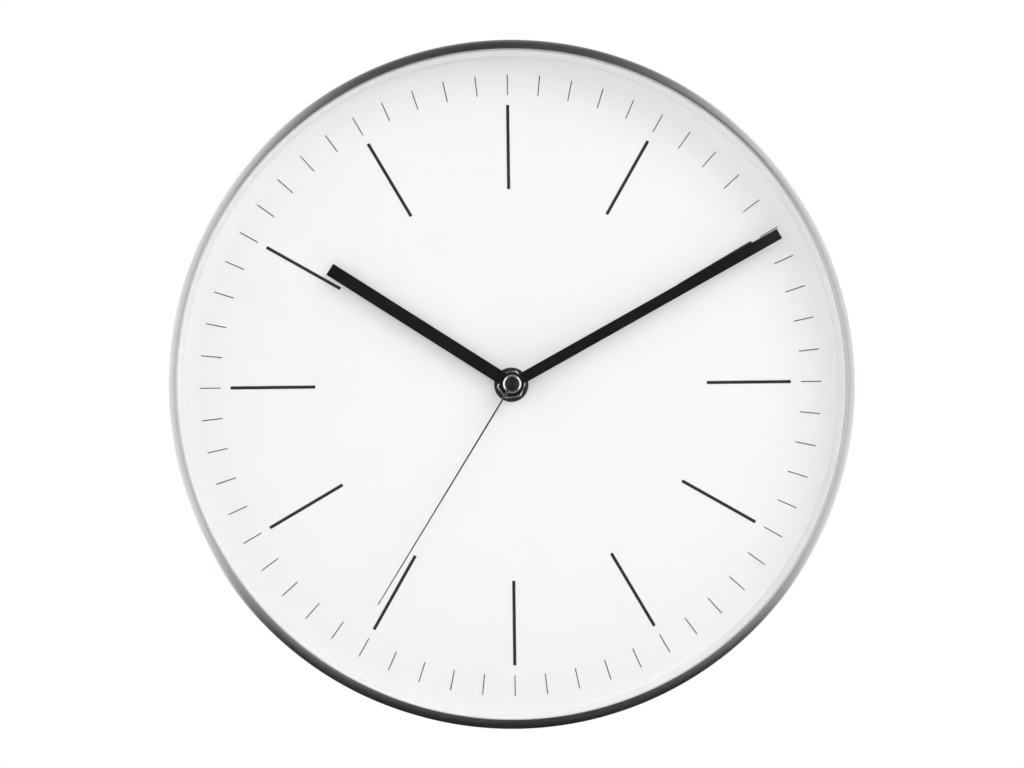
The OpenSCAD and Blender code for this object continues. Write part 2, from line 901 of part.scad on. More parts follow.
module contact_positive() {
    plate_z = [cell_z - contact_w / 2, cell_z + contact_w / 2];
    strip_z = [strip_back, strip_front];
    left = -inside_w + 3 * contact_t;
    color("gold") upright() {
        block([inside_w - contact_t, inside_w], [-inside_w, divider_top + contact_t], plate_z);
        block([inside_w - contact_t, inside_w], [divider_top, divider_top + contact_t], strip_z);
        block([left, inside_w], [divider_top, divider_top + contact_t], strip_z);
        block([left, left + contact_t], [divider_top, board_low + 2], strip_z);
        block([left, left + contact_t], [board_low, board_low + 2], [strip_back, circuit_at]);
    }
}

module contact_negative() {
    leaf_centre = -inside_w + contact_t + leaf_reach - leaf_r;
    color("gold") upright() {
        block([-inside_w, -inside_w + contact_t], [-inside_w, board_low + 2],
            [cell_z - contact_w / 2, cell_z + contact_w / 2]);
        translate([leaf_centre, cell_y + leaf_w / 2, cell_z]) rotate([90, 0, 0])
            intersection() {
                tube(leaf_r, leaf_r - contact_t, 0, leaf_w);
                translate([leaf_r - leaf_reach - contact_t / 2, -leaf_r, 0])
                    cube([leaf_r, 2 * leaf_r, leaf_w]);
            }
    }
}

module battery() {
    color("darkorange") upright() translate([cell_left, cell_y, cell_z]) rotate([0, 90, 0]) {
        cylinder(r = cell_r, h = cell_body_l);
        translate([0, 0, cell_body_l - cut]) cylinder(r = cell_nub_r, h = cell_nub_l + cut);
    }
}

module setting_knob() {
    gear_back = minute_wheel_at - 0.2;
    gear_front = minute_wheel_at + motion_wheel_t + 0.2;
    color("whitesmoke") upright() at(knob_at) {
        difference() {
            disc(knob_r, knob_back, knob_front);
            for (i = [0 : knob_flutes - 1])
                at(polar(knob_r + 0.2, i * 360 / knob_flutes))
                    disc(0.45, knob_back - cut, knob_front + cut, 24);
        }
        disc(spindle_r, knob_front - cut, gear_back + cut / 2);
        pinion(knob_teeth, motion_module, gear_back, gear_front, gap_turn(knob_dir, knob_teeth));
        disc(spindle_tip_r, gear_front - cut / 2, ceiling - 0.6);
    }
}

case_ring();
lens_seal();
glass_lens();
reflector_ring();
dial();
hour_marks();
minute_marks();
dial_board();
back_shell();
shell_screws();
hanger_plate();
hanger_screws();
wall_bumpers();
rubber_washer();
dial_washer();
hex_nut();
threaded_bush();
movement_case();
movement_cover();
train_plate();
plate_screws();
hour_hand();
hour_wheel();
minute_hand();
centre_wheel();
cannon_pinion();
second_hand();
hub_cap();
seconds_wheel();
minute_wheel();
third_wheel();
fifth_wheel();
rotor_pinion();
rotor_magnet();
stator();
coil_core();
coil_bobbin();
coil_winding();
coil_rivets();
circuit_board();
quartz_crystal();
driver_chip();
contact_positive();
contact_negative();
battery();
setting_knob();
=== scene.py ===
import math
import bpy
import bmesh
from mathutils import Matrix, Quaternion, Vector


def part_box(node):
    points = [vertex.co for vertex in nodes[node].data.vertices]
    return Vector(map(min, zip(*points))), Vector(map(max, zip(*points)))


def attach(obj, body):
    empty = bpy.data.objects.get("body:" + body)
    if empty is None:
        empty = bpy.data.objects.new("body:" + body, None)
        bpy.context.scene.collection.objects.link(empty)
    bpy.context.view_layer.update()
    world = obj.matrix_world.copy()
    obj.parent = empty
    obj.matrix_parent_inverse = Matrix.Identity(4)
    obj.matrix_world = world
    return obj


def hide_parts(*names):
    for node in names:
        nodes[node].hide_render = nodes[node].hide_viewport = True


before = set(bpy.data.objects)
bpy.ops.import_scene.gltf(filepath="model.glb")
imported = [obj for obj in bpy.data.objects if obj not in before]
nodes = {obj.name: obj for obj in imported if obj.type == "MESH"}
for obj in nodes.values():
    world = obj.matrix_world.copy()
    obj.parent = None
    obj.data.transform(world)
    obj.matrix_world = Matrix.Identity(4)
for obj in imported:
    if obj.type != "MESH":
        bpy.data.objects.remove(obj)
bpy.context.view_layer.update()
scene = bpy.context.scene
scene.view_settings.view_transform = "Standard"
mm = 0.001
print("wall clock: frame loaded,", len(nodes), "CAD nodes")


# where the CAD parts are; depth is the distance from the wall, in metres
def backOf(name):
    return -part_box(name)[1].y


def frontOf(name):
    return -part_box(name)[0].y


def radiusOf(name):
    low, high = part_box(name)
    return (high.x - low.x) / 2


def middleOf(name):
    low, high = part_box(name)
    return (low + high) / 2


# a part's back and front in millimetres
def depthsOf(name):
    return backOf(name) / mm, frontOf(name) / mm


def inMetres(points):
    return [Vector(p) * mm for p in points]


cameraLook = {
    "azimuth": -2.4,        # degrees, negative stands to the left of the clock
    "elevation": -2.0,
    "roll": -0.74,
    "distance": 3.0,
    "caseShare": 0.6742,    # of the picture's width
    "shift": (-0.0007, -0.0005),
    "sensorWidth": 36,
    "clip": (0.05, 50),
}

caseRadius = radiusOf("case_ring")
caseFront = frontOf("case_ring")


def placeCamera(look):
    camera = bpy.data.objects.new("camera", bpy.data.cameras.new("camera"))
    scene.collection.objects.link(camera)
    azimuth, elevation = math.radians(look["azimuth"]), math.radians(look["elevation"])
    back = Vector((math.sin(azimuth) * math.cos(elevation),
                   -math.cos(azimuth) * math.cos(elevation),
                   math.sin(elevation)))
    camera.location = Vector((0, -caseFront, 0)) + back * look["distance"]
    camera.rotation_mode = "QUATERNION"
    turn = Quaternion((0, 0, 1), math.radians(look["roll"]))
    camera.rotation_quaternion = (-back).to_track_quat("-Z", "Y") @ turn
    camera.data.sensor_width = look["sensorWidth"]
    camera.data.lens = look["sensorWidth"] * look["distance"] * look["caseShare"] / (2 * caseRadius)
    camera.data.shift_x, camera.data.shift_y = look["shift"]
    camera.data.clip_start, camera.data.clip_end = look["clip"]
    scene.camera = camera


placeCamera(cameraLook)

softboxes = {
    "keyRight": {"place": (1.1, -1.2, 1.1), "width": 1.4, "height": 1.4, "watts": 16},
    "fillLeft": {"place": (-1.3, -1.2, 0.7), "width": 1.3, "height": 1.4, "watts": 5},
    "front": {"place": (0.0, -2.5, 0.3), "width": 1.8, "height": 1.4, "watts": 18},
}


def placeSoftbox(name, look):
    lamp = bpy.data.lights.new(name, "AREA")
    lamp.shape, lamp.size, lamp.size_y = "RECTANGLE", look["width"], look["height"]
    lamp.energy = look["watts"]
    obj = bpy.data.objects.new(name, lamp)
    scene.collection.objects.link(obj)
    obj.location = look["place"]
    obj.rotation_euler = (-obj.location).to_track_quat("-Z", "Y").to_euler()
    obj.visible_glossy = False      # the room below gives the reflections
    obj.visible_transmission = False
    obj.visible_camera = False


for name, look in softboxes.items():
    placeSoftbox(name, look)


# short ways to add and join shader nodes
def addNode(tree, kind, inputs=None, **settings):
    node = tree.nodes.new("ShaderNode" + kind)
    for key, value in settings.items():
        setattr(node, key, value)
    for key, value in (inputs or {}).items():
        if isinstance(value, bpy.types.NodeSocket):
            tree.links.new(value, node.inputs[key])
        else:
            node.inputs[key].default_value = value
    return node


def calc(tree, operation, first, second=0.0, clamp=False):
    return addNode(tree, "Math", {0: first, 1: second}, operation=operation, use_clamp=clamp).outputs[0]


def remap(tree, value, low, high, newLow, newHigh, smooth=False):
    kind = "SMOOTHSTEP" if smooth else "LINEAR"
    return addNode(tree, "MapRange", {"Value": value, "From Min": low, "From Max": high,
                                      "To Min": newLow, "To Max": newHigh},
                   interpolation_type=kind).outputs["Result"]


def mixColours(tree, share, first, second):
    return addNode(tree, "Mix", {0: share, 6: first, 7: second}, data_type="RGBA").outputs[2]


def newGroup(name, inputs, outputs):
    tree = bpy.data.node_groups.new(name, "ShaderNodeTree")
    for label, value in inputs.items():
        kind = "NodeSocketVector" if isinstance(value, tuple) else "NodeSocketFloat"
        socket = tree.interface.new_socket(name=label, in_out="INPUT", socket_type=kind)
        socket.default_value = value
    for label, kind in outputs.items():
        tree.interface.new_socket(name=label, in_out="OUTPUT", socket_type="NodeSocket" + kind)
    given = tree.nodes.new("NodeGroupInput").outputs
    result = tree.nodes.new("NodeGroupOutput").inputs
    return tree, given, result


def useGroup(tree, group, **values):
    node = tree.nodes.new("ShaderNodeGroup")
    node.node_tree = group
    for label, value in values.items():
        socket = node.inputs[label]
        if isinstance(value, bpy.types.NodeSocket):
            tree.links.new(value, socket)
        else:
            socket.default_value = value
    return node.outputs


# the room is white behind the clock and, in the reflections, bright at its two sides
roomLook = {
    "backdrop": (1.0, 1.0, 1.0, 1),
    "skyFill": 0.48,            # soft light from above
    "floorFill": 0.26,          # and from below
    "brightSide": 1.25,         # what the metal mirrors at left and right
    "behindTop": 0.7,           # and past its outer edge, at the top
    "behindSide": 3.0,          # and at the sides
    "darkTop": 0.036,
    "darkBottom": 0.012,
    "warmDark": (1.0, 0.90, 0.84, 1),
    "fadeAbove": (0.66, 0.94),  # the bright sides end here, as sines of the height
    "fadeBelow": (-0.72, -0.38),
    "fadeFront": (0.16, 0.30),  # nothing bright straight ahead
    "fadeBehind": (-0.1, 0.6),
}


def buildRoom(look):
    world = bpy.data.worlds.new("studio")
    scene.world = world
    world.use_nodes = True
    tree = world.node_tree
    tree.nodes.clear()
    direction = addNode(tree, "TexCoord").outputs["Generated"]
    axes = addNode(tree, "SeparateXYZ", {0: direction}).outputs
    ray = addNode(tree, "LightPath").outputs
    spread = calc(tree, "SQRT", calc(tree, "ADD", calc(tree, "MULTIPLY", axes["X"], axes["X"]),
                                     calc(tree, "MULTIPLY", axes["Z"], axes["Z"])))
    height = calc(tree, "DIVIDE", axes["Z"], calc(tree, "MAXIMUM", spread, 0.001))
    # bright between about 35 degrees below and 55 degrees above each side
    above = remap(tree, height, *look["fadeAbove"], 1, 0, smooth=True)
    below = remap(tree, height, *look["fadeBelow"], 0, 1, smooth=True)
    offAxis = remap(tree, spread, *look["fadeFront"], 0, 1, smooth=True)
    bright = calc(tree, "MULTIPLY", calc(tree, "MULTIPLY", above, below), offAxis)
    dark = remap(tree, height, -1, 1, look["darkBottom"], look["darkTop"])
    behind = calc(tree, "MULTIPLY", remap(tree, axes["Y"], *look["fadeBehind"], 0, 1, smooth=True), below)
    behind = calc(tree, "MULTIPLY", behind, remap(tree, above, 0, 1, look["behindTop"], look["behindSide"]))
    lit = calc(tree, "MAXIMUM", calc(tree, "MULTIPLY", bright, look["brightSide"]), behind)
    mirrored = calc(tree, "ADD", dark, lit)
    tint = mixColours(tree, bright, look["warmDark"], (1, 1, 1, 1))
    fill = remap(tree, axes["Z"], -1, 1, look["floorFill"], look["skyFill"])
    seenInMetal = addNode(tree, "Background", {"Color": tint, "Strength": mirrored})
    softLight = addNode(tree, "Background", {"Color": (1, 1, 1, 1), "Strength": fill})
    backdrop = addNode(tree, "Background", {"Color": look["backdrop"], "Strength": 1.0})
    unseen = addNode(tree, "MixShader", {0: ray["Is Diffuse Ray"], 1: seenInMetal.outputs[0],
                                         2: softLight.outputs[0]})
    shown = addNode(tree, "MixShader", {0: ray["Is Camera Ray"], 1: unseen.outputs[0],
                                        2: backdrop.outputs[0]})
    addNode(tree, "OutputWorld", {"Surface": shown.outputs[0]})


buildRoom(roomLook)
print("wall clock: camera, lamps and room ready")


# surface effects that several finishes share
def buildSurfaceGrain():
    tree, given, result = newGroup("surfaceGrain",
                                   {"Scale": 1500.0, "Contrast": 0.1, "Stretch": (1.0, 1.0, 1.0)},
                                   {"Height": "Float", "Shade": "Float"})
    place = addNode(tree, "TexCoord").outputs["Object"]
    pulled = addNode(tree, "VectorMath", {0: place, 1: given["Stretch"]}, operation="MULTIPLY").outputs[0]
    fine = addNode(tree, "TexNoise", {"Vector": pulled, "Scale": given["Scale"], "Detail": 4.0,
                                      "Roughness": 0.62}).outputs["Fac"]
    broad = addNode(tree, "TexNoise", {"Vector": place, "Scale": calc(tree, "MULTIPLY", given["Scale"], 0.03),
                                       "Detail": 2.0}).outputs["Fac"]
    darker = calc(tree, "SUBTRACT", 1.0, given["Contrast"])
    lighter = calc(tree, "ADD", 1.0, given["Contrast"])
    mixed = calc(tree, "ADD", calc(tree, "MULTIPLY", fine, 0.4), calc(tree, "MULTIPLY", broad, 0.6))
    tree.links.new(fine, result["Height"])
    tree.links.new(remap(tree, mixed, 0.3, 0.7, darker, lighter), result["Shade"])
    return tree


def buildRoundBrushing():
    tree, given, result = newGroup("roundBrushing", {"Lines": 2500.0, "Sweep": 4.0},
                                   {"Height": "Float", "Streak": "Float"})
    place = addNode(tree, "TexCoord").outputs["Object"]
    axes = addNode(tree, "SeparateXYZ", {0: place}).outputs
    flat = addNode(tree, "CombineXYZ", {"X": axes["X"], "Z": axes["Z"]}).outputs[0]
    radius = addNode(tree, "VectorMath", {0: flat}, operation="LENGTH").outputs["Value"]
    around = addNode(tree, "VectorMath", {0: flat}, operation="NORMALIZE").outputs[0]
    turned = addNode(tree, "SeparateXYZ", {0: around}).outputs
    across = calc(tree, "MULTIPLY", radius, given["Lines"])
    along = calc(tree, "MULTIPLY", axes["Y"], given["Lines"])
    sweepX = calc(tree, "MULTIPLY", turned["X"], given["Sweep"])
    sweepZ = calc(tree, "MULTIPLY", turned["Z"], given["Sweep"])
    seed = addNode(tree, "CombineXYZ", {"X": across, "Y": along, "Z": sweepX}).outputs[0]
    lines = addNode(tree, "TexNoise", {"Vector": seed, "W": sweepZ, "Scale": 1.0, "Detail": 3.0,
                                       "Roughness": 0.7}, noise_dimensions="4D").outputs["Fac"]
    tree.links.new(lines, result["Height"])
    tree.links.new(remap(tree, lines, 0.32, 0.68, 0, 1), result["Streak"])
    return tree


# lighter colour along edges found by a Bevel node: wear on most finishes, painted highlight lines on the
# black chrome and the grey needle
def buildEdgeWearAndSheen():
    tree, given, result = newGroup("edgeWearAndSheen", {"Radius": 0.0002, "Strength": 1.0},
                                   {"Mask": "Float", "Normal": "Vector"})
    rounded = addNode(tree, "Bevel", {"Radius": given["Radius"]}, samples=4).outputs["Normal"]
    plain = addNode(tree, "NewGeometry").outputs["Normal"]
    same = addNode(tree, "VectorMath", {0: rounded, 1: plain}, operation="DOT_PRODUCT").outputs["Value"]
    edge = calc(tree, "MULTIPLY", calc(tree, "SUBTRACT", 1.0, same), given["Strength"], clamp=True)
    place = addNode(tree, "TexCoord").outputs["Object"]
    patchy = addNode(tree, "TexNoise", {"Vector": place, "Scale": 700.0, "Detail": 3.0}).outputs["Fac"]
    tree.links.new(calc(tree, "MULTIPLY", edge, remap(tree, patchy, 0.35, 0.65, 0.2, 1.0)), result["Mask"])
    tree.links.new(rounded, result["Normal"])
    return tree


def buildDust():
    tree, given, result = newGroup("dustSpeckle", {"Scale": 900.0, "Amount": 0.5}, {"Mask": "Float"})
    place = addNode(tree, "TexCoord").outputs["Object"]
    specks = addNode(tree, "TexVoronoi", {"Vector": place, "Scale": given["Scale"]}).outputs
    size = addNode(tree, "SeparateColor", {0: specks["Color"]}).outputs[0]
    reach = remap(tree, size, 0.78, 1.0, 0.0, 0.28)
    spot = remap(tree, calc(tree, "SUBTRACT", reach, specks["Distance"]), 0.0, 0.08, 0, 1)
    patchy = addNode(tree, "TexNoise", {"Vector": place, "Scale": 60.0, "Detail": 3.0}).outputs["Fac"]
    film = remap(tree, patchy, 0.4, 0.75, 0.0, 0.35)
    both = calc(tree, "MAXIMUM", spot, film)
    tree.links.new(calc(tree, "MULTIPLY", both, given["Amount"], clamp=True), result["Mask"])
    return tree


def buildMouldSkin():
    tree, given, result = newGroup("mouldSkin", {"Scale": 1800.0}, {"Height": "Float"})
    place = addNode(tree, "TexCoord").outputs["Object"]
    cells = addNode(tree, "TexVoronoi", {"Vector": place, "Scale": given["Scale"], "Smoothness": 0.6},
                    feature="SMOOTH_F1").outputs["Distance"]
    grit = addNode(tree, "TexNoise", {"Vector": place, "Scale": calc(tree, "MULTIPLY", given["Scale"], 2.2),
                                      "Detail": 2.0}).outputs["Fac"]
    tree.links.new(calc(tree, "ADD", cells, calc(tree, "MULTIPLY", grit, 0.5)), result["Height"])
    return tree


surfaceGrain = buildSurfaceGrain()
roundBrushing = buildRoundBrushing()
edgeWearAndSheen = buildEdgeWearAndSheen()
dustSpeckle = buildDust()
mouldSkin = buildMouldSkin()


dustColour = (0.55, 0.53, 0.50, 1)


def newMaterial(name):
    material = bpy.data.materials.new(name)
    material.use_nodes = True
    tree = material.node_tree
    return material, tree, tree.nodes["Principled BSDF"]


# one finish from its own dictionary; colour, roughness and bump vary over the surface
def makeFinish(name, look):
    material, tree, shader = newMaterial(name)
    grain = useGroup(tree, surfaceGrain, Scale=look["grain"], Contrast=look["mottle"],
                     Stretch=look.get("stretch", (1.0, 1.0, 1.0)))
    colour = addNode(tree, "HueSaturation", {"Value": grain["Shade"], "Color": look["colour"]}).outputs[0]
    height, rough = grain["Height"], grain["Height"]
    if "lines" in look:
        brushed = useGroup(tree, roundBrushing, Lines=look["lines"], Sweep=look["sweep"])
        height, rough = brushed["Height"], brushed["Streak"]
        streak = calc(tree, "MULTIPLY", brushed["Streak"], look["streak"])
        colour = mixColours(tree, streak, colour, look["second"])
    elif "skin" in look:
        height = useGroup(tree, mouldSkin, Scale=look["skin"])["Height"]
    # edges take a lighter colour: wear on most finishes, painted highlight lines on blackChrome and
    # needleGrey
    edge = useGroup(tree, edgeWearAndSheen, Radius=look["edge"], Strength=look["wearAndSheen"])
    colour = mixColours(tree, edge["Mask"], colour, look["wornAndSheen"])
    if look.get("dust"):
        dust = useGroup(tree, dustSpeckle, Amount=look["dust"])["Mask"]
        colour = mixColours(tree, dust, colour, dustColour)
    tree.links.new(colour, shader.inputs["Base Color"])
    low, high = look["roughness"]
    tree.links.new(remap(tree, rough, 0.25, 0.75, low, high), shader.inputs["Roughness"])
    bump = addNode(tree, "Bump", {"Strength": look["bump"], "Distance": look["bumpDepth"],
                                  "Height": height, "Normal": edge["Normal"]})
    tree.links.new(bump.outputs[0], shader.inputs["Normal"])
    shader.inputs["Metallic"].default_value = look.get("metallic", 0.0)
    shader.inputs["Coat Weight"].default_value = look.get("coat", 0.0)
    shader.inputs["Coat Roughness"].default_value = look.get("coatRoughness", 0.05)
    shader.inputs["Specular IOR Level"].default_value = look.get("specular", 0.5)
    if "anisotropy" in look:
        shader.inputs["Anisotropic"].default_value = look["anisotropy"]
        shader.inputs["Anisotropic Rotation"].default_value = 0.25      # gloss spreads across the lines
        tangent = addNode(tree, "Tangent", direction_type="RADIAL", axis="Y")
        tree.links.new(tangent.outputs[0], shader.inputs["Tangent"])
    return material


def makeGlass(name, look):
    material, tree, shader = newMaterial(name)
    shader.inputs["Transmission Weight"].default_value = 1.0
    shader.inputs["IOR"].default_value = look["ior"]
    grain = useGroup(tree, surfaceGrain, Scale=look["grain"], Contrast=look["mottle"])
    dust = useGroup(tree, dustSpeckle, Scale=look["dustScale"], Amount=look["dust"])["Mask"]
    tint = addNode(tree, "HueSaturation", {"Value": grain["Shade"], "Color": look["colour"]}).outputs[0]
    tree.links.new(tint, shader.inputs["Base Color"])
    tree.links.new(remap(tree, dust, 0, 1, *look["roughness"]), shader.inputs["Roughness"])
    # lamps shine straight through, so the dial behind is evenly lit
    clear = addNode(tree, "BsdfTransparent", {"Color": look["colour"]})
    ray = addNode(tree, "LightPath").outputs
    through = calc(tree, "MAXIMUM", ray["Is Shadow Ray"], ray["Is Diffuse Ray"])
    shown = addNode(tree, "MixShader", {0: through, 1: shader.outputs[0], 2: clear.outputs[0]})
    tree.links.new(shown.outputs[0], tree.nodes["Material Output"].inputs["Surface"])
    return material


finishLooks = {
    "brushedSteel": {
        "colour": (0.62, 0.61, 0.60, 1), "second": (0.80, 0.79, 0.78, 1), "streak": 0.35,
        "wornAndSheen": (0.85, 0.85, 0.85, 1), "metallic": 1.0, "roughness": (0.36, 0.46), "lines": 3600.0,
        "sweep": 5.0, "grain": 900.0, "mottle": 0.03, "bump": 0.10, "bumpDepth": 0.00004, "edge": 0.0001,
        "wearAndSheen": 0.4, "anisotropy": 0.9},
    "sealRubber": {
        "colour": (0.035, 0.035, 0.035, 1), "wornAndSheen": (0.08, 0.08, 0.08, 1), "roughness": (0.55, 0.8),
        "grain": 2200.0, "mottle": 0.2, "bump": 0.3, "bumpDepth": 0.0001, "edge": 0.0002, "wearAndSheen": 0.6,
        "dust": 0.25},
    "ringWhite": {
        "colour": (0.935, 0.933, 0.93, 1), "wornAndSheen": (0.94, 0.94, 0.94, 1), "roughness": (0.38, 0.5),
        "grain": 1200.0, "mottle": 0.012, "skin": 2600.0, "bump": 0.05, "bumpDepth": 0.00004,
        "edge": 0.0002, "wearAndSheen": 0.2},
    "dialPaint": {
        "colour": (0.888, 0.884, 0.876, 1), "wornAndSheen": (0.90, 0.90, 0.90, 1), "roughness": (0.5, 0.62),
        "grain": 2600.0, "mottle": 0.008, "bump": 0.06, "bumpDepth": 0.00003, "edge": 0.0001,
        "wearAndSheen": 0.2},
    "printInk": {
        "colour": (0.018, 0.017, 0.017, 1), "wornAndSheen": (0.05, 0.05, 0.05, 1), "roughness": (0.5, 0.7),
        "grain": 5200.0, "mottle": 0.25, "bump": 0.15, "bumpDepth": 0.00002, "edge": 0.00002,
        "wearAndSheen": 0.2},
    "pressedBoard": {
        "colour": (0.38, 0.35, 0.30, 1), "wornAndSheen": (0.5, 0.46, 0.4, 1), "roughness": (0.75, 0.95),
        "grain": 700.0, "stretch": (1.0, 1.0, 3.0), "mottle": 0.25, "bump": 0.4, "bumpDepth": 0.0002,
        "edge": 0.0003, "wearAndSheen": 0.5, "dust": 0.2},
    "shellPlastic": {
        "colour": (0.022, 0.022, 0.024, 1), "wornAndSheen": (0.07, 0.07, 0.072, 1), "roughness": (0.36, 0.55),
        "grain": 900.0, "mottle": 0.18, "skin": 1500.0, "bump": 0.28, "bumpDepth": 0.00012,
        "edge": 0.0004, "wearAndSheen": 0.5, "dust": 0.10},
    "casePlastic": {
        "colour": (0.030, 0.030, 0.033, 1), "wornAndSheen": (0.08, 0.08, 0.085, 1), "roughness": (0.30, 0.48),
        "grain": 1300.0, "mottle": 0.15, "skin": 2300.0, "bump": 0.22, "bumpDepth": 0.0001,
        "edge": 0.0003, "wearAndSheen": 0.5, "dust": 0.08},
    "zincPlate": {
        "colour": (0.56, 0.57, 0.60, 1), "wornAndSheen": (0.80, 0.80, 0.80, 1), "metallic": 1.0,
        "roughness": (0.24, 0.42), "grain": 1600.0, "mottle": 0.12, "bump": 0.2, "bumpDepth": 0.00005,
        "edge": 0.0002, "wearAndSheen": 0.7, "dust": 0.05},
    # blackChrome: its pale edge colour paints highlight lines along the edges of the black metal
    "blackChrome": {
        "colour": (0.020, 0.019, 0.019, 1), "second": (0.05, 0.048, 0.046, 1), "streak": 0.6,
        "wornAndSheen": (0.50, 0.48, 0.46, 1), "roughness": (0.07, 0.16), "lines": 5200.0, "sweep": 3.0,
        "grain": 1800.0, "mottle": 0.1, "bump": 0.08, "bumpDepth": 0.00002, "edge": 0.00008, "wearAndSheen": 0.9,
        "coat": 0.9, "coatRoughness": 0.06, "specular": 0.8},
    "nutPlate": {
        "colour": (0.80, 0.78, 0.77, 1), "wornAndSheen": (0.9, 0.88, 0.86, 1), "metallic": 1.0,
        "roughness": (0.10, 0.18), "grain": 1800.0, "mottle": 0.1, "bump": 0.05, "bumpDepth": 0.00002,
        "edge": 0.00006, "wearAndSheen": 0.8},
    "turnedBrass": {
        "colour": (0.60, 0.43, 0.17, 1), "second": (0.80, 0.62, 0.30, 1), "streak": 0.5,
        "wornAndSheen": (0.9, 0.75, 0.42, 1), "metallic": 1.0, "roughness": (0.18, 0.36), "lines": 5200.0,
        "sweep": 2.0, "grain": 1500.0, "mottle": 0.08, "bump": 0.15, "bumpDepth": 0.00004, "edge": 0.0001,
        "wearAndSheen": 0.7},
    "creamAcetal": {
        "colour": (0.76, 0.72, 0.58, 1), "wornAndSheen": (0.88, 0.85, 0.75, 1), "roughness": (0.28, 0.42),
        "grain": 1900.0, "mottle": 0.06, "skin": 3200.0, "bump": 0.08, "bumpDepth": 0.00004,
        "edge": 0.0001, "wearAndSheen": 0.5},
    "handBlack": {
        "colour": (0.0032, 0.0030, 0.0030, 1), "wornAndSheen": (0.022, 0.022, 0.022, 1), "roughness": (0.42, 0.6),
        "grain": 2600.0, "mottle": 0.12, "bump": 0.12, "bumpDepth": 0.00003, "edge": 0.00006, "wearAndSheen": 0.5,
        "specular": 0.2},
    "capBlack": {
        "colour": (0.010, 0.009, 0.009, 1), "wornAndSheen": (0.05, 0.05, 0.05, 1), "roughness": (0.25, 0.38),
        "grain": 2400.0, "mottle": 0.12, "skin": 4200.0, "bump": 0.1, "bumpDepth": 0.00004,
        "edge": 0.0001, "wearAndSheen": 0.4, "specular": 0.35},
    "bossChrome": {
        "colour": (0.86, 0.86, 0.86, 1), "second": (0.92, 0.92, 0.92, 1), "streak": 0.3,
        "wornAndSheen": (0.95, 0.95, 0.95, 1), "metallic": 1.0, "roughness": (0.06, 0.12), "lines": 6000.0,
        "sweep": 2.0, "grain": 1500.0, "mottle": 0.03, "bump": 0.04, "bumpDepth": 0.00002,
        "edge": 0.00005, "wearAndSheen": 0.2},
    # needleGrey: its pale edge colour paints highlight lines along the needle's edges
    "needleGrey": {
        "colour": (0.24, 0.24, 0.245, 1), "wornAndSheen": (0.85, 0.85, 0.85, 1), "metallic": 1.0,
        "roughness": (0.2, 0.3), "grain": 2600.0, "mottle": 0.1, "bump": 0.06, "bumpDepth": 0.00002,
        "edge": 0.00006, "wearAndSheen": 0.8},
    "magnetGrey": {
        "colour": (0.11, 0.11, 0.115, 1), "wornAndSheen": (0.2, 0.2, 0.2, 1), "metallic": 0.5,
        "roughness": (0.5, 0.75), "grain": 3200.0, "mottle": 0.25, "bump": 0.4, "bumpDepth": 0.00006,
        "edge": 0.0001, "wearAndSheen": 0.5},
    "softIron": {
        "colour": (0.42, 0.43, 0.46, 1), "wornAndSheen": (0.7, 0.7, 0.72, 1), "metallic": 1.0,
        "roughness": (0.26, 0.44), "grain": 1500.0, "stretch": (1.0, 1.0, 0.15), "mottle": 0.12,
        "bump": 0.2, "bumpDepth": 0.00004, "edge": 0.0001, "wearAndSheen": 0.7},
    "copperEnamel": {
        "colour": (0.42, 0.13, 0.045, 1), "wornAndSheen": (0.75, 0.36, 0.16, 1), "metallic": 0.85,
        "roughness": (0.16, 0.3), "grain": 2400.0, "mottle": 0.15, "bump": 0.05, "bumpDepth": 0.00002,
        "edge": 0.00004, "wearAndSheen": 0.5, "coat": 0.6, "coatRoughness": 0.1},
    "solderMask": {
        "colour": (0.03, 0.16, 0.07, 1), "wornAndSheen": (0.25, 0.3, 0.16, 1), "roughness": (0.2, 0.36),
        "grain": 1800.0, "mottle": 0.12, "bump": 0.15, "bumpDepth": 0.00004, "edge": 0.0001, "wearAndSheen": 0.6,
        "coat": 0.4},
    "epoxyBlack": {
        "colour": (0.012, 0.012, 0.012, 1), "wornAndSheen": (0.03, 0.03, 0.03, 1), "roughness": (0.12, 0.3),
        "grain": 1400.0, "mottle": 0.15, "bump": 0.25, "bumpDepth": 0.0001, "edge": 0.0001, "wearAndSheen": 0.2},
    "nickelSpring": {
        "colour": (0.62, 0.60, 0.55, 1), "wornAndSheen": (0.85, 0.83, 0.78, 1), "metallic": 1.0,
        "roughness": (0.2, 0.34), "grain": 1500.0, "stretch": (0.2, 1.0, 1.0), "mottle": 0.08,
        "bump": 0.12, "bumpDepth": 0.00004, "edge": 0.0001, "wearAndSheen": 0.6},
    "cellOrange": {
        "colour": (0.50, 0.17, 0.035, 1), "wornAndSheen": (0.62, 0.30, 0.12, 1), "roughness": (0.16, 0.3),
        "grain": 900.0, "mottle": 0.06, "bump": 0.08, "bumpDepth": 0.00006, "edge": 0.0002, "wearAndSheen": 0.4,
        "coat": 0.5},
    "cellPale": {
        "colour": (0.62, 0.60, 0.56, 1), "wornAndSheen": (0.75, 0.73, 0.7, 1), "roughness": (0.18, 0.32),
        "grain": 900.0, "mottle": 0.05, "bump": 0.08, "bumpDepth": 0.00006, "edge": 0.0002, "wearAndSheen": 0.4,
        "coat": 0.5},
    "knobWhite": {
        "colour": (0.74, 0.74, 0.72, 1), "wornAndSheen": (0.85, 0.85, 0.84, 1), "roughness": (0.3, 0.45),
        "grain": 1500.0, "mottle": 0.04, "skin": 2600.0, "bump": 0.1, "bumpDepth": 0.00005,
        "edge": 0.0002, "wearAndSheen": 0.4, "dust": 0.1},
}
finishes = {name: makeFinish(name, look) for name, look in finishLooks.items()}
finishes["clearGlass"] = makeGlass("clearGlass", {
    "colour": (1.0, 1.0, 1.0, 1), "ior": 1.5, "roughness": (0.0, 0.2), "grain": 300.0, "mottle": 0.02,
    "dust": 0.02, "dustScale": 500.0})
print("wall clock:", len(finishes), "finishes made")


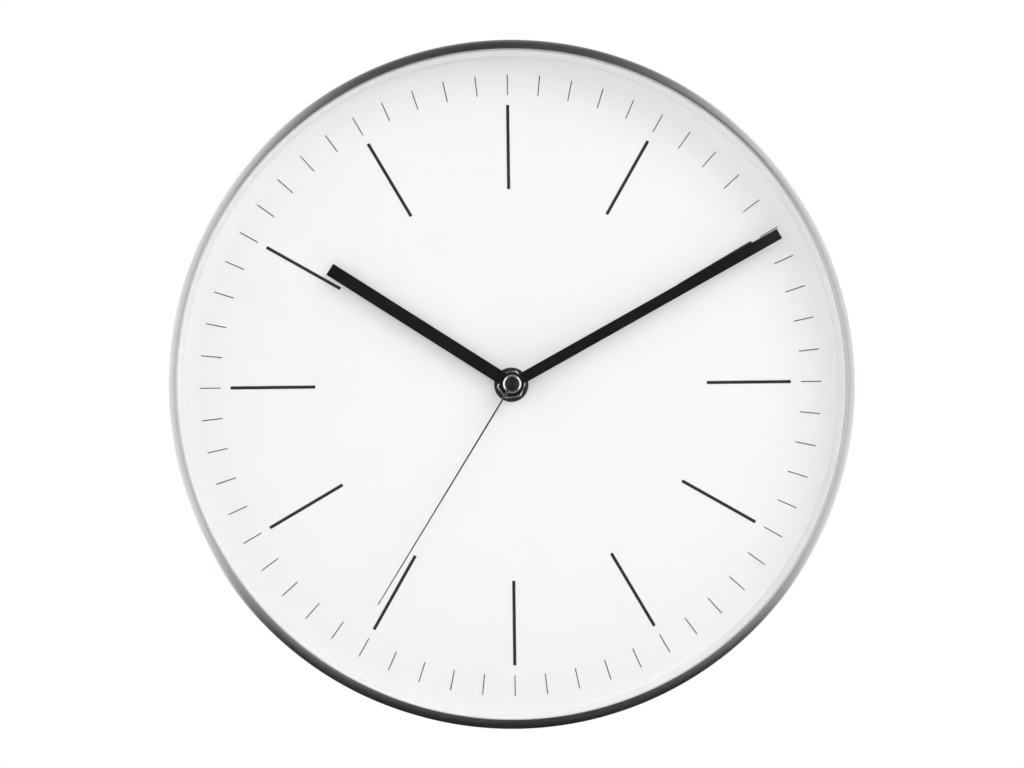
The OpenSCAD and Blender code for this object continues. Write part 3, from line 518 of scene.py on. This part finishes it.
# rounds the corners of an outline; each corner is (radius, depth, rounding)
def roundCorners(corners, steps=5):
    points = []
    for i, (radius, depth, rounding) in enumerate(corners):
        here = Vector((radius, depth))
        if rounding <= 0:
            points.append(here)
            continue
        before = (Vector(corners[i - 1][:2]) - here).normalized()
        after = (Vector(corners[(i + 1) % len(corners)][:2]) - here).normalized()
        half = before.angle(after) / 2
        centre = here + (before + after).normalized() * rounding / math.sin(half)
        start = here + before * rounding / math.tan(half) - centre
        end = here + after * rounding / math.tan(half) - centre
        turn = start.angle_signed(end)
        for k in range(steps + 1):
            angle = -turn * k / steps
            points.append(centre + Vector((start.x * math.cos(angle) - start.y * math.sin(angle),
                                           start.x * math.sin(angle) + start.y * math.cos(angle))))
    return points


# turns an outline round an axis; the outline may change with the angle
def latheMesh(name, outline, segments, centre=(0, 0, 0), along="Y", closed=True):
    mesh = bpy.data.meshes.new(name)
    bm = bmesh.new()
    centre = Vector(centre)
    rings = []
    for s in range(segments):
        angle = 2 * math.pi * s / segments
        points = outline(angle) if callable(outline) else outline
        c, d = math.cos(angle), math.sin(angle)
        if along == "Y":
            ring = [bm.verts.new(centre + Vector((r * c, -depth, r * d))) for r, depth in points]
        else:
            ring = [bm.verts.new(centre + Vector((depth, r * c, r * d))) for r, depth in points]
        rings.append(ring)
    count = len(rings[0])
    for s in range(segments):
        here, there = rings[s], rings[(s + 1) % segments]
        for k in range(count if closed else count - 1):
            n = (k + 1) % count
            bm.faces.new((here[k], here[n], there[n], there[k]))
    bmesh.ops.remove_doubles(bm, verts=bm.verts, dist=1e-7)
    bmesh.ops.recalc_face_normals(bm, faces=bm.faces)
    bm.to_mesh(mesh)
    bm.free()
    return mesh


def meshOfCurve(name, curve, place):
    drawn = bpy.data.objects.new(name, curve)
    scene.collection.objects.link(drawn)
    bpy.context.view_layer.update()
    mesh = bpy.data.meshes.new_from_object(drawn.evaluated_get(bpy.context.evaluated_depsgraph_get()))
    bpy.data.objects.remove(drawn)
    bpy.data.curves.remove(curve)
    mesh.transform(place)
    tidyMesh(mesh)
    return mesh


# a flat stamped shape with softened edges and 12 o'clock up; outline and edge are in millimetres,
# back and front in metres
def flatMesh(name, loops, back, front, edge):
    curve = bpy.data.curves.new(name, "CURVE")
    curve.dimensions, curve.fill_mode = "2D", "BOTH"
    curve.extrude = (front - back) / mm / 2 - edge
    curve.bevel_depth, curve.bevel_resolution, curve.offset = edge, 2, -edge
    for loop in loops:
        spline = curve.splines.new("POLY")
        spline.points.add(len(loop) - 1)
        for point, (x, y) in zip(spline.points, loop):
            point.co = (x, y, 0, 1)
        spline.use_cyclic_u = True
    middle = Matrix.Translation((0, -(front + back) / 2, 0))
    return meshOfCurve(name, curve, middle @ Matrix.Rotation(math.pi / 2, 4, "X") @ Matrix.Scale(mm, 4))


def tidyMesh(mesh):
    bm = bmesh.new()
    bm.from_mesh(mesh)
    bmesh.ops.remove_doubles(bm, verts=bm.verts, dist=1e-7)
    bmesh.ops.recalc_face_normals(bm, faces=bm.faces)
    bm.to_mesh(mesh)
    bm.free()


def joinMeshes(name, meshes):
    bm = bmesh.new()
    for part in meshes:
        bm.from_mesh(part)
    mesh = bpy.data.meshes.new(name)
    bm.to_mesh(mesh)
    bm.free()
    return mesh


# a round hole, drawn clockwise
def holeLoop(radius, count):
    turns = [-2 * math.pi * k / count for k in range(count)]
    return [(radius * math.cos(turn), radius * math.sin(turn)) for turn in turns]


# thin raised shapes on a back face, one for each loop; all in millimetres
def raisedMesh(name, loops, back, shape):
    top, foot = (back - shape["raise"]) * mm, (back + shape["sink"]) * mm
    return joinMeshes(name, [flatMesh(name, [loop], top, foot, shape["edge"]) for loop in loops])


def makePiece(name, mesh, body, finish, standsFor=(), sharp=32):
    mesh.name = name
    for face in mesh.polygons:
        face.use_smooth = True
    mesh.set_sharp_from_angle(angle=math.radians(sharp))
    mesh.materials.clear()
    mesh.materials.append(finishes[finish])
    obj = bpy.data.objects.new(name, mesh)
    scene.collection.objects.link(obj)
    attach(obj, body)
    if standsFor:
        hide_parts(*standsFor)


caseShape = {
    "sheet": 0.9, "lipWidth": 3.7, "outerBend": 3.2, "innerBend": 0.35, "hollowBend": 1.6,
    "lipReturn": 2.8, "backBend": 1.5, "crimp": 1.4, "segments": 480, "bendSteps": 14,
}


def makeCase(shape):
    outer, front, sheet = caseRadius / mm, caseFront / mm, shape["sheet"]
    lip = outer - shape["lipWidth"]
    foot = front - shape["lipReturn"]
    heel = outer - shape["backBend"] - shape["crimp"]
    corners = [
        (lip, foot, 0.2), (lip, front, shape["innerBend"]), (outer, front, shape["outerBend"]),
        (outer, 0, shape["backBend"]), (heel, 0, 0.2), (heel, sheet, 0.2),
        (outer - sheet, sheet, shape["backBend"] - sheet),
        (outer - sheet, front - sheet, shape["hollowBend"]),
        (lip + sheet, front - sheet, 0.1), (lip + sheet, foot, 0.2),
    ]
    outline = inMetres(roundCorners(corners, shape["bendSteps"]))
    mesh = latheMesh("case_ring", outline, shape["segments"])
    makePiece("caseRing", mesh, "case", "brushedSteel", ["case_ring"], sharp=50)


makeCase(caseShape)

sealShape = {"segments": 240, "rounding": 0.2, "behindLip": 0.1}


def makeSeal(shape):
    outer = radiusOf("lens_seal") / mm
    inner = caseRadius / mm - caseShape["lipWidth"] + shape["behindLip"]
    back, front = depthsOf("lens_seal")
    r = shape["rounding"]
    outline = roundCorners([(inner, back, r), (outer, back, r), (outer, front, r), (inner, front, r)])
    mesh = latheMesh("lens_seal", inMetres(outline), shape["segments"])
    makePiece("lensSeal", mesh, "case", "sealRubber", ["lens_seal"])


makeSeal(sealShape)

glassShape = {"thickness": 2.5, "rise": 3.6, "segments": 240, "rings": 30, "edgeBevel": 0.25}


def makeGlassLens(shape):
    edge, front = radiusOf("glass_lens") / mm, frontOf("glass_lens") / mm
    seen = caseRadius / mm - caseShape["lipWidth"]
    dome = (seen ** 2 + shape["rise"] ** 2) / (2 * shape["rise"])

    def depthAt(r, radius):
        return front - dome + math.sqrt(radius ** 2 - r ** 2)

    outline = []
    for k in range(shape["rings"] + 1):
        r = (edge - shape["edgeBevel"]) * k / shape["rings"]
        outline.append((r, depthAt(r, dome)))
    outline.append((edge, depthAt(edge, dome) - shape["edgeBevel"]))
    outline.append((edge, depthAt(edge, dome - shape["thickness"]) + shape["edgeBevel"]))
    for k in range(shape["rings"], -1, -1):
        r = (edge - shape["edgeBevel"]) * k / shape["rings"]
        outline.append((r, depthAt(r, dome - shape["thickness"])))
    mesh = latheMesh("glass_lens", inMetres(outline), shape["segments"], closed=False)
    makePiece("glassLens", mesh, "case", "clearGlass", ["glass_lens"])


makeGlassLens(glassShape)

ringShape = {"foot": 131.4, "top": 133.2, "wall": 1.6, "skirt": 134.4, "segments": 320}


def makeReflectorRing(shape):
    outer = radiusOf("reflector_ring") / mm
    back, front = depthsOf("reflector_ring")
    groove = shape["foot"] + shape["wall"]
    corners = [
        (shape["foot"], back, 0.12), (groove, back, 0.1), (shape["skirt"], front - shape["wall"], 0.2),
        (shape["skirt"], back, 0.1), (outer, back, 0.1), (outer, front, 0.2), (shape["top"], front, 0.35),
    ]
    outline = inMetres(roundCorners(corners))
    mesh = latheMesh("reflector_ring", outline, shape["segments"])
    makePiece("reflectorRing", mesh, "case", "ringWhite", ["reflector_ring"])


makeReflectorRing(ringShape)

dialShape = {"hole": 4.05, "segments": 320, "edge": 0.12}


def makeDial(shape):
    back, front = depthsOf("dial")
    outer = radiusOf("dial") / mm
    e = shape["edge"]
    middle = (outer + shape["hole"]) / 2
    corners = [(shape["hole"], back, e), (middle, back, 0), (outer, back, e),
               (outer, front, e), (middle, front, 0), (shape["hole"], front, e)]
    mesh = latheMesh("dial", inMetres(roundCorners(corners)), shape["segments"])
    makePiece("dialPlate", mesh, "case", "dialPaint", ["dial"])


makeDial(dialShape)
print("wall clock: case, glass and dial made")


washerShape = {"hole": 4.05, "edge": 0.16, "segments": 96}


def makeWasher(name, node, finish, shape):
    outer = radiusOf(node) / mm
    back, front = depthsOf(node)
    e = shape["edge"]
    corners = [(shape["hole"], back, e), (outer, back, e), (outer, front, e), (shape["hole"], front, e)]
    mesh = latheMesh(node, inMetres(roundCorners(corners, 4)), shape["segments"])
    makePiece(name, mesh, "case", finish, [node])


makeWasher("dialWasher", "dial_washer", "blackChrome", washerShape)
makeWasher("rubberWasher", "rubber_washer", "sealRubber", washerShape)

nutShape = {"flats": 10.2, "bore": 4.02, "turn": 10, "bevel": 0.42, "bevelDrop": 0.3, "boreChamfer": 0.35,
            "edge": 0.05, "segments": 144}


# a hexagon with an even bevel along its front and back edges
def makeNut(shape):
    back, front = depthsOf("hex_nut")
    bevel, drop, e = shape["bevel"], shape["bevelDrop"], shape["edge"]
    bore, lead = shape["bore"], shape["boreChamfer"]

    def outline(angle):
        side = (math.degrees(angle) - shape["turn"]) % 60 - 30
        reach = shape["flats"] / 2 / math.cos(math.radians(side))
        corners = [(bore, back, 0), (reach - bevel, back, e), (reach, back + drop, e),
                   (reach, front - drop, e), (reach - bevel, front, e), (bore + lead, front, e),
                   (bore, front - lead, 0)]
        return inMetres(roundCorners(corners, 3))

    mesh = latheMesh("hex_nut", outline, shape["segments"])
    makePiece("hexNut", mesh, "case", "nutPlate", ["hex_nut"], sharp=25)


makeNut(nutShape)

bushShape = {"pitch": 0.75, "threadDepth": 0.3, "crest": 1.25, "clearance": 0.05, "bore": 2.6,
             "boreChamfer": 0.2, "flange": 1.0, "flangeRadius": 5.2, "flangeRound": 0.15,
             "threadEnd": 0.3, "endInset": 0.32, "segments": 72, "stepsPerTurn": 8}


def makeBush(shape):
    back, front = depthsOf("threaded_bush")
    outer = washerShape["hole"] - shape["clearance"]
    start, end = back + shape["flange"], front - shape["threadEnd"]
    bore, chamfer = shape["bore"], shape["boreChamfer"]
    rim, rounding = shape["flangeRadius"], shape["flangeRound"]
    steps = int((end - start) / shape["pitch"] * shape["stepsPerTurn"])

    def outline(angle):
        points = [(bore, back + chamfer), (bore + chamfer, back), (rim - rounding, back),
                  (rim, back + rounding), (rim, start - rounding), (rim - rounding, start)]
        for k in range(steps + 1):
            depth = start + (end - start) * k / steps
            phase = (depth / shape["pitch"] - angle / (2 * math.pi)) % 1
            cut = min(1, abs(2 * phase - 1) * shape["crest"])
            points.append((outer - shape["threadDepth"] * (1 - cut), depth))
        points += [(outer - shape["endInset"], front), (bore + chamfer, front), (bore, front - chamfer)]
        return inMetres(points)

    mesh = latheMesh("threaded_bush", outline, shape["segments"])
    makePiece("threadedBush", mesh, "case", "turnedBrass", ["threaded_bush"], sharp=28)


makeBush(bushShape)


# the turn of a hand from 12 o'clock, clockwise, and its length, from its CAD part
def handPose(node):
    points = [v.co for v in nodes[node].data.vertices]
    length = max(math.hypot(p.x, p.z) for p in points)
    tip = [p for p in points if math.hypot(p.x, p.z) > length - 0.2 * mm]     # the last 0.2 mm
    x, z = sum(p.x for p in tip), sum(p.z for p in tip)
    turn = math.atan2(x, z)
    straight = max(p.x * math.sin(turn) + p.z * math.cos(turn) for p in points)
    return turn, straight / mm


handShapes = {
    "hour_hand": {"name": "hourHand", "body": "hours", "width": 5.2, "hub": 5.0, "hole": 2.57,
                  "collar": 3.45},
    "minute_hand": {"name": "minuteHand", "body": "minutes", "width": 4.4, "hub": 4.8, "hole": 1.62,
                    "collar": 2.5},
}
handEdges = {"blade": 0.08, "backStep": 0.5, "frontStep": 0.4, "collar": 0.1, "holeSteps": 48, "segments": 64}


# outline of a bar that grows out of a round hub
def barAndHub(width, length, hub, count=64):
    half = width / 2
    meet = math.asin(half / hub)
    points = [(half, length), (-half, length)]
    for k in range(count + 1):
        angle = math.pi / 2 + meet + (2 * math.pi - 2 * meet) * k / count
        points.append((hub * math.cos(angle), hub * math.sin(angle)))
    return points


def makeHand(node, shape, edges):
    turn, length = handPose(node)
    back, front = depthsOf(node)
    blade = (back + edges["backStep"]) * mm, (front - edges["frontStep"]) * mm
    loops = [barAndHub(shape["width"], length, shape["hub"]), holeLoop(shape["hole"], edges["holeSteps"])]
    flat = flatMesh(node, loops, *blade, edges["blade"])
    e = edges["collar"]
    corners = [(shape["hole"], back, e), (shape["collar"], back, e), (shape["collar"], front, e),
               (shape["hole"], front, e)]
    collar = latheMesh(node + "Collar", inMetres(roundCorners(corners, 3)), edges["segments"])
    mesh = joinMeshes(node, [flat, collar])
    mesh.transform(Matrix.Rotation(turn, 4, "Y"))
    makePiece(shape["name"], mesh, shape["body"], "handBlack", [node])


for node, shape in handShapes.items():
    makeHand(node, shape, handEdges)

needleShape = {"root": 1.6, "rootAt": 0.9, "waist": 0.74, "waistAt": 8.0, "tip": 0.42, "edge": 0.07,
               "bladeThickness": 0.3, "proud": 0.08, "boss": 3.65, "bossInner": 2.95, "bossDrop": 0.42,
               "bossSink": 0.03, "seatSink": 0.16, "underBlade": 0.3, "tube": 1.1, "bore": 0.52,
               "segments": 128}


def makeSecondHand(shape):
    turn, length = handPose("second_hand")
    back, front = depthsOf("second_hand")
    blade = front - shape["bladeThickness"]
    root, waist, tip = shape["root"] / 2, shape["waist"] / 2, shape["tip"] / 2
    rootAt, waistAt = shape["rootAt"], shape["waistAt"]
    outline = [(-tip, length), (-waist, waistAt), (-root, rootAt),
               (root, rootAt), (waist, waistAt), (tip, length)]
    needle = flatMesh("needle", [outline], blade * mm, (front + shape["proud"]) * mm, shape["edge"])
    needle.transform(Matrix.Rotation(turn, 4, "Y"))
    makePiece("secondHandNeedle", needle, "seconds", "needleGrey", ["second_hand"])
    # polished cup that the cap sits in, on a short pipe
    bore, tube, boss, inner = shape["bore"], shape["tube"], shape["boss"], shape["bossInner"]
    under, rim, seat = blade - shape["underBlade"], front - shape["bossSink"], front - shape["seatSink"]
    corners = [(bore, back, 0.05), (tube, back, 0.1), (tube, under, 0.1), (boss, under, 0.12),
               (boss, rim - shape["bossDrop"], 0.1), (inner, rim, 0.08), (inner - 0.1, seat, 0.04),
               (bore, seat, 0.04)]
    cup = latheMesh("boss", inMetres(roundCorners(corners, 6)), shape["segments"])
    makePiece("secondHandBoss", cup, "seconds", "bossChrome", sharp=50)


makeSecondHand(needleShape)

capShape = {"radius": 2.84, "dome": 0.35, "rim": 0.28, "rimSteps": 4, "foot": 0.15, "rings": 8,
            "segments": 96}


def makeCap(shape):
    back, front = depthsOf("hub_cap")
    radius = shape["radius"]
    outline = [(0, back), (radius - shape["foot"], back), (radius, back + shape["foot"])]
    shoulder = front - shape["dome"]
    for k in range(shape["rimSteps"] + 1):
        angle = math.pi / 2 * k / shape["rimSteps"]
        outline.append((radius - shape["rim"] + shape["rim"] * math.cos(angle),
                        shoulder - shape["rim"] + shape["rim"] * math.sin(angle)))
    top = radius - shape["rim"]
    for k in range(1, shape["rings"] + 1):
        share = 1 - k / shape["rings"]
        outline.append((top * share, shoulder + shape["dome"] * (1 - share ** 2)))
    mesh = latheMesh("hub_cap", inMetres(outline), shape["segments"], closed=False)
    makePiece("hubCap", mesh, "seconds", "capBlack", ["hub_cap"])


makeCap(capShape)
print("wall clock: hands made")


# a round wire through a few points, in millimetres
def wireMesh(name, points, radius):
    curve = bpy.data.curves.new(name, "CURVE")
    curve.dimensions, curve.bevel_depth, curve.bevel_resolution, curve.use_fill_caps = "3D", radius, 3, True
    spline = curve.splines.new("POLY")
    spline.points.add(len(points) - 1)
    for point, place in zip(spline.points, points):
        point.co = (*place, 1)
    return meshOfCurve(name, curve, Matrix.Scale(mm, 4))


def rectangle(left, low, right, high):
    return [(left, low), (right, low), (right, high), (left, high)]


cellShape = {"radius": 7.15, "can": 6.85, "nub": 1.5, "nubRadius": 2.65, "rim": 0.35, "dish": 4.9,
             "dishDepth": 0.25, "chamfer": 0.3, "grooveOuter": 0.9, "grooveInner": 0.5, "nubSink": 0.1,
             "bandShare": 0.24, "endGap": 0.5, "overlap": 0.05, "sleeveRound": 0.12, "segments": 128}


def makeCell(shape):
    low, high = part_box("battery")
    start, tip = low.x / mm, high.x / mm
    end = tip - shape["nub"]
    middle = middleOf("battery")
    centre = (0, middle.y, middle.z)
    can, rim, dish, nub = shape["can"], shape["rim"], shape["dish"], shape["nubRadius"]
    deep, chamfer = shape["dishDepth"], shape["chamfer"]
    outline = [(0, start + deep), (dish - chamfer, start + deep), (dish, start), (can - rim, start),
               (can, start + rim), (can, end - rim), (can - rim, end), (nub + shape["grooveOuter"], end),
               (nub + shape["grooveInner"], end - deep), (nub, end - shape["nubSink"]),
               (nub, tip - chamfer), (nub - chamfer, tip), (0, tip)]
    ends = latheMesh("cell", inMetres(outline), shape["segments"], centre, "X", closed=False)
    makePiece("cellCan", ends, "battery", "nickelSpring", ["battery"])
    first, last = start + shape["endGap"], end - shape["endGap"]
    split = last - (last - first) * shape["bandShare"]
    inner, outer, soft = can - shape["overlap"], shape["radius"], shape["sleeveRound"]
    sleeves = (("cellJacket", first, split, "cellOrange"), ("cellBand", split, last, "cellPale"))
    for name, a, b, finish in sleeves:
        sleeve = roundCorners([(inner, a, 0), (outer, a, soft), (outer, b, soft), (inner, b, 0)], 3)
        mesh = latheMesh(name, inMetres(sleeve), shape["segments"], centre, "X")
        makePiece(name, mesh, "battery", finish)


makeCell(cellShape)

coilShape = {"pitch": 0.3, "wire": 0.11, "shoulder": 0.3, "inner": 2.64, "segments": 64, "stepsPerTurn": 6}


# enamelled wire in a close helix
def makeWinding(shape):
    low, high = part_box("coil_winding")
    left, right = low.x / mm, high.x / mm
    outer = (high.z - low.z) / 2 / mm
    middle = middleOf("coil_winding")
    steps = int((right - left) / shape["pitch"] * shape["stepsPerTurn"])

    def outline(angle):
        points = [(shape["inner"], left), (outer - shape["shoulder"], left)]
        for k in range(1, steps):
            depth = left + (right - left) * k / steps
            phase = (depth / shape["pitch"] + angle / (2 * math.pi)) % 1
            points.append((outer - shape["wire"] * (1 - math.sin(math.pi * phase)), depth))
        points += [(outer - shape["shoulder"], right), (shape["inner"], right)]
        return inMetres(points)

    mesh = latheMesh("coil_winding", outline, shape["segments"], (0, middle.y, middle.z), "X")
    makePiece("coilWinding", mesh, "case", "copperEnamel", ["coil_winding"], sharp=60)


makeWinding(coilShape)

crystalShape = {"body": 1.38, "base": 0.8, "round": 0.5, "brim": 0.15, "brimInset": 0.1, "lead": 0.16,
                "leadGap": 0.36, "leadReach": 1.3, "leadBend": 0.25, "leadSink": 0.1, "segments": 64}


def makeCrystal(shape):
    low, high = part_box("quartz_crystal")
    start, end = low.x / mm, high.x / mm
    outer = (high.z - low.z) / 2 / mm
    middle = middleOf("quartz_crystal")
    body, brim, base = shape["body"], shape["brim"], start + shape["base"]
    corners = [(outer - shape["brimInset"], start, 0.08), (outer, start + brim, 0.08),
               (outer, base, 0.12), (body, base + brim, 0.1), (body, end, shape["round"])]
    outline = [Vector((0, start))] + roundCorners(corners + [(0, end, 0), (0, start, 0)], 5)[:-1]
    centre = (0, middle.y, middle.z)
    can = latheMesh("can", inMetres(outline), shape["segments"], centre, "X", closed=False)
    board = backOf("circuit_board") / mm
    y, bend, sink = middle.y / mm, shape["leadBend"], shape["leadSink"]
    corner = start - shape["leadReach"]
    leads = []
    for side in (-1, 1):
        z = middle.z / mm + side * shape["leadGap"]
        points = [(start + sink, y, z), (corner, y, z), (corner - bend, y - bend, z),
                  (corner - bend, -board - sink, z)]
        leads.append(wireMesh("lead", points, shape["lead"]))
    mesh = joinMeshes("quartz_crystal", [can] + leads)
    makePiece("quartzCrystal", mesh, "case", "zincPlate", ["quartz_crystal"])


makeCrystal(crystalShape)

chipShape = {"wobble": 0.04, "lobes": 3, "lobeTurn": 0.8, "fullness": 2.6, "rings": 12, "segments": 72}


# a drop of cured resin over the chip
def makeChip(shape):
    back, front = depthsOf("driver_chip")
    radius = radiusOf("driver_chip") / mm
    middle = middleOf("driver_chip")

    def outline(angle):
        wave = 0.5 + 0.5 * math.sin(shape["lobes"] * angle + shape["lobeTurn"])
        edge = radius * (1 - shape["wobble"] * wave)
        points = [(0, back)]
        for k in range(1, shape["rings"] + 1):
            share = k / shape["rings"]
            fall = 1 - math.sqrt(1 - share ** shape["fullness"])
            points.append((edge * share, back + (front - back) * fall))
        return inMetres(points + [(0, front)])

    mesh = latheMesh("driver_chip", outline, shape["segments"], (middle.x, 0, middle.z), closed=False)
    makePiece("driverChip", mesh, "case", "epoxyBlack", ["driver_chip"])


makeChip(chipShape)

trackShape = {"width": 0.45, "pad": 0.75, "raise": 0.08, "sink": 0.02, "edge": 0.015, "margin": 1.3,
              "count": 5, "fan": 0.38, "under": 0.6, "bend": 0.6, "bendStep": 0.55, "gap": 0.02}


# tinned tracks that run out from the chip to a row of pads
def makeTracks(shape):
    low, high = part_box("circuit_board")
    chip = middleOf("driver_chip") / mm
    back = backOf("circuit_board") / mm
    left, right = low.x / mm + shape["margin"], high.x / mm - shape["margin"]
    padRow = low.z / mm + shape["margin"]
    chipReach = radiusOf("driver_chip") / mm
    chipEdge = chip.z - chipReach * shape["under"]
    half, pad, gap = shape["width"] / 2, shape["pad"], shape["gap"]
    loops = []
    for k in range(shape["count"]):
        x = left + (right - left) * k / (shape["count"] - 1)
        offset = k - (shape["count"] - 1) / 2
        startX = chip.x + offset * chipReach * shape["fan"]
        bend = chip.z - chipReach - shape["bend"] - shape["bendStep"] * abs(offset)
        loops.append(rectangle(x - pad, padRow - pad, x + pad, padRow + pad))
        loops.append(rectangle(x - half, padRow + pad + gap, x + half, bend - half - gap))
        loops.append(rectangle(min(x, startX) - half, bend - half, max(x, startX) + half, bend + half))
        loops.append(rectangle(startX - half, bend + half + gap, startX + half, chipEdge))
    mesh = raisedMesh("tracks", loops, back, shape)
    makePiece("circuitTracks", mesh, "case", "nickelSpring")


makeTracks(trackShape)

bumperShape = {"foot": 4.0, "footLift": 0.02, "brow": 0.5, "round": 1.5, "skirt": 1.6, "steps": 8,
               "segments": 96}


def makeBumpers(shape):
    low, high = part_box("wall_bumpers")
    back, front = depthsOf("wall_bumpers")
    radius = (high.z - low.z) / 2 / mm
    reach = high.x / mm - radius
    corners = [(shape["foot"], back + shape["footLift"], 1.2),
               (radius - shape["brow"], back + shape["round"], 0.8),
               (radius, front - shape["skirt"], 0.3), (radius, front, 0.1), (0, front, 0), (0, back, 0)]
    outline = roundCorners(corners, shape["steps"])
    meshes = []
    for side in (-1, 1):
        place = (side * reach * mm, 0, (low.z + high.z) / 2)
        meshes.append(latheMesh("bumper", inMetres(outline), shape["segments"], place))
    mesh = joinMeshes("bumpers", meshes)
    makePiece("wallBumpers", mesh, "case", "sealRubber", ["wall_bumpers"])


makeBumpers(bumperShape)

markShape = {"arm": 1.8, "bar": 0.55, "raise": 0.22, "sink": 0.05, "edge": 0.06,
             "fromEdge": 7.0, "above": 3.2}


# raised plus and minus on the movement's back, over the ends of the cell
def makeCellMarks(shape):
    low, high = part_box("movement_cover")
    back = backOf("movement_cover") / mm
    y = low.z / mm + shape["above"]
    right, left = high.x / mm - shape["fromEdge"], low.x / mm + shape["fromEdge"]
    arm, bar = shape["arm"], shape["bar"] / 2
    plus = [(-arm, -bar), (-bar, -bar), (-bar, -arm), (bar, -arm), (bar, -bar), (arm, -bar),
            (arm, bar), (bar, bar), (bar, arm), (-bar, arm), (-bar, bar), (-arm, bar)]
    loops = [[(right + a, y + b) for a, b in plus], rectangle(left - arm, y - bar, left + arm, y + bar)]
    makePiece("cellMarks", raisedMesh("marks", loops, back, shape), "case", "casePlastic")


makeCellMarks(markShape)
print("wall clock: cell, coil, circuit and bumpers made")

floorLook = {"size": 2.6, "cells": 8, "behind": 0.2, "below": 0.16, "colour": (0.86, 0.86, 0.86, 1),
             "grain": 60.0, "mottle": 0.01, "roughness": 0.8}


def makeFloor(look):
    mesh = bpy.data.meshes.new("floor")
    bm = bmesh.new()
    bmesh.ops.create_grid(bm, x_segments=look["cells"], y_segments=look["cells"], size=look["size"] / 2)
    bm.to_mesh(mesh)
    bm.free()
    floor = bpy.data.objects.new("floor", mesh)
    scene.collection.objects.link(floor)
    floor.location = (0, look["behind"], -caseRadius - look["below"])
    floor.visible_glossy = False
    floor.visible_transmission = False
    material, tree, shader = newMaterial("paleFloor")
    grain = useGroup(tree, surfaceGrain, Scale=look["grain"], Contrast=look["mottle"])
    tint = addNode(tree, "HueSaturation", {"Value": grain["Shade"], "Color": look["colour"]}).outputs[0]
    tree.links.new(tint, shader.inputs["Base Color"])
    shader.inputs["Roughness"].default_value = look["roughness"]
    mesh.materials.append(material)


makeFloor(floorLook)

# CAD parts that keep their shape get a finish each
nodeFinishes = {
    "hour_marks": "printInk", "minute_marks": "printInk", "dial_board": "pressedBoard",
    "back_shell": "shellPlastic", "shell_screws": "zincPlate", "hanger_plate": "zincPlate",
    "hanger_screws": "zincPlate", "movement_case": "casePlastic",
    "movement_cover": "casePlastic", "train_plate": "creamAcetal", "plate_screws": "zincPlate",
    "hour_wheel": "turnedBrass", "centre_wheel": "turnedBrass", "cannon_pinion": "turnedBrass",
    "seconds_wheel": "creamAcetal", "minute_wheel": "creamAcetal", "third_wheel": "creamAcetal",
    "fifth_wheel": "creamAcetal", "rotor_pinion": "creamAcetal", "rotor_magnet": "magnetGrey",
    "stator": "softIron", "coil_core": "softIron", "coil_bobbin": "ringWhite",
    "coil_rivets": "zincPlate", "circuit_board": "solderMask", "contact_positive": "nickelSpring",
    "contact_negative": "nickelSpring", "setting_knob": "knobWhite",
}


def dressNode(name, finish):
    mesh = nodes[name].data
    mesh.materials.clear()
    mesh.materials.append(finishes[finish])


for name, finish in nodeFinishes.items():
    dressNode(name, finish)

# soft moulded and pressed edges, in millimetres
softEdges = {
    "back_shell": 0.3, "movement_case": 0.25, "movement_cover": 0.25, "hanger_plate": 0.2,
    "dial_board": 0.3, "circuit_board": 0.08, "stator": 0.06, "coil_bobbin": 0.12,
    "contact_positive": 0.06, "contact_negative": 0.06, "rotor_magnet": 0.15, "train_plate": 0.12,
}
bevelLook = {"segments": 2, "sharperThan": 50}      # degrees


def softenEdges(name, width, look):
    bevel = nodes[name].modifiers.new("softEdges", "BEVEL")
    bevel.width, bevel.segments = width * mm, look["segments"]
    bevel.limit_method, bevel.angle_limit = "ANGLE", math.radians(look["sharperThan"])


for name, width in softEdges.items():
    softenEdges(name, width, bevelLook)

print("wall clock: done")
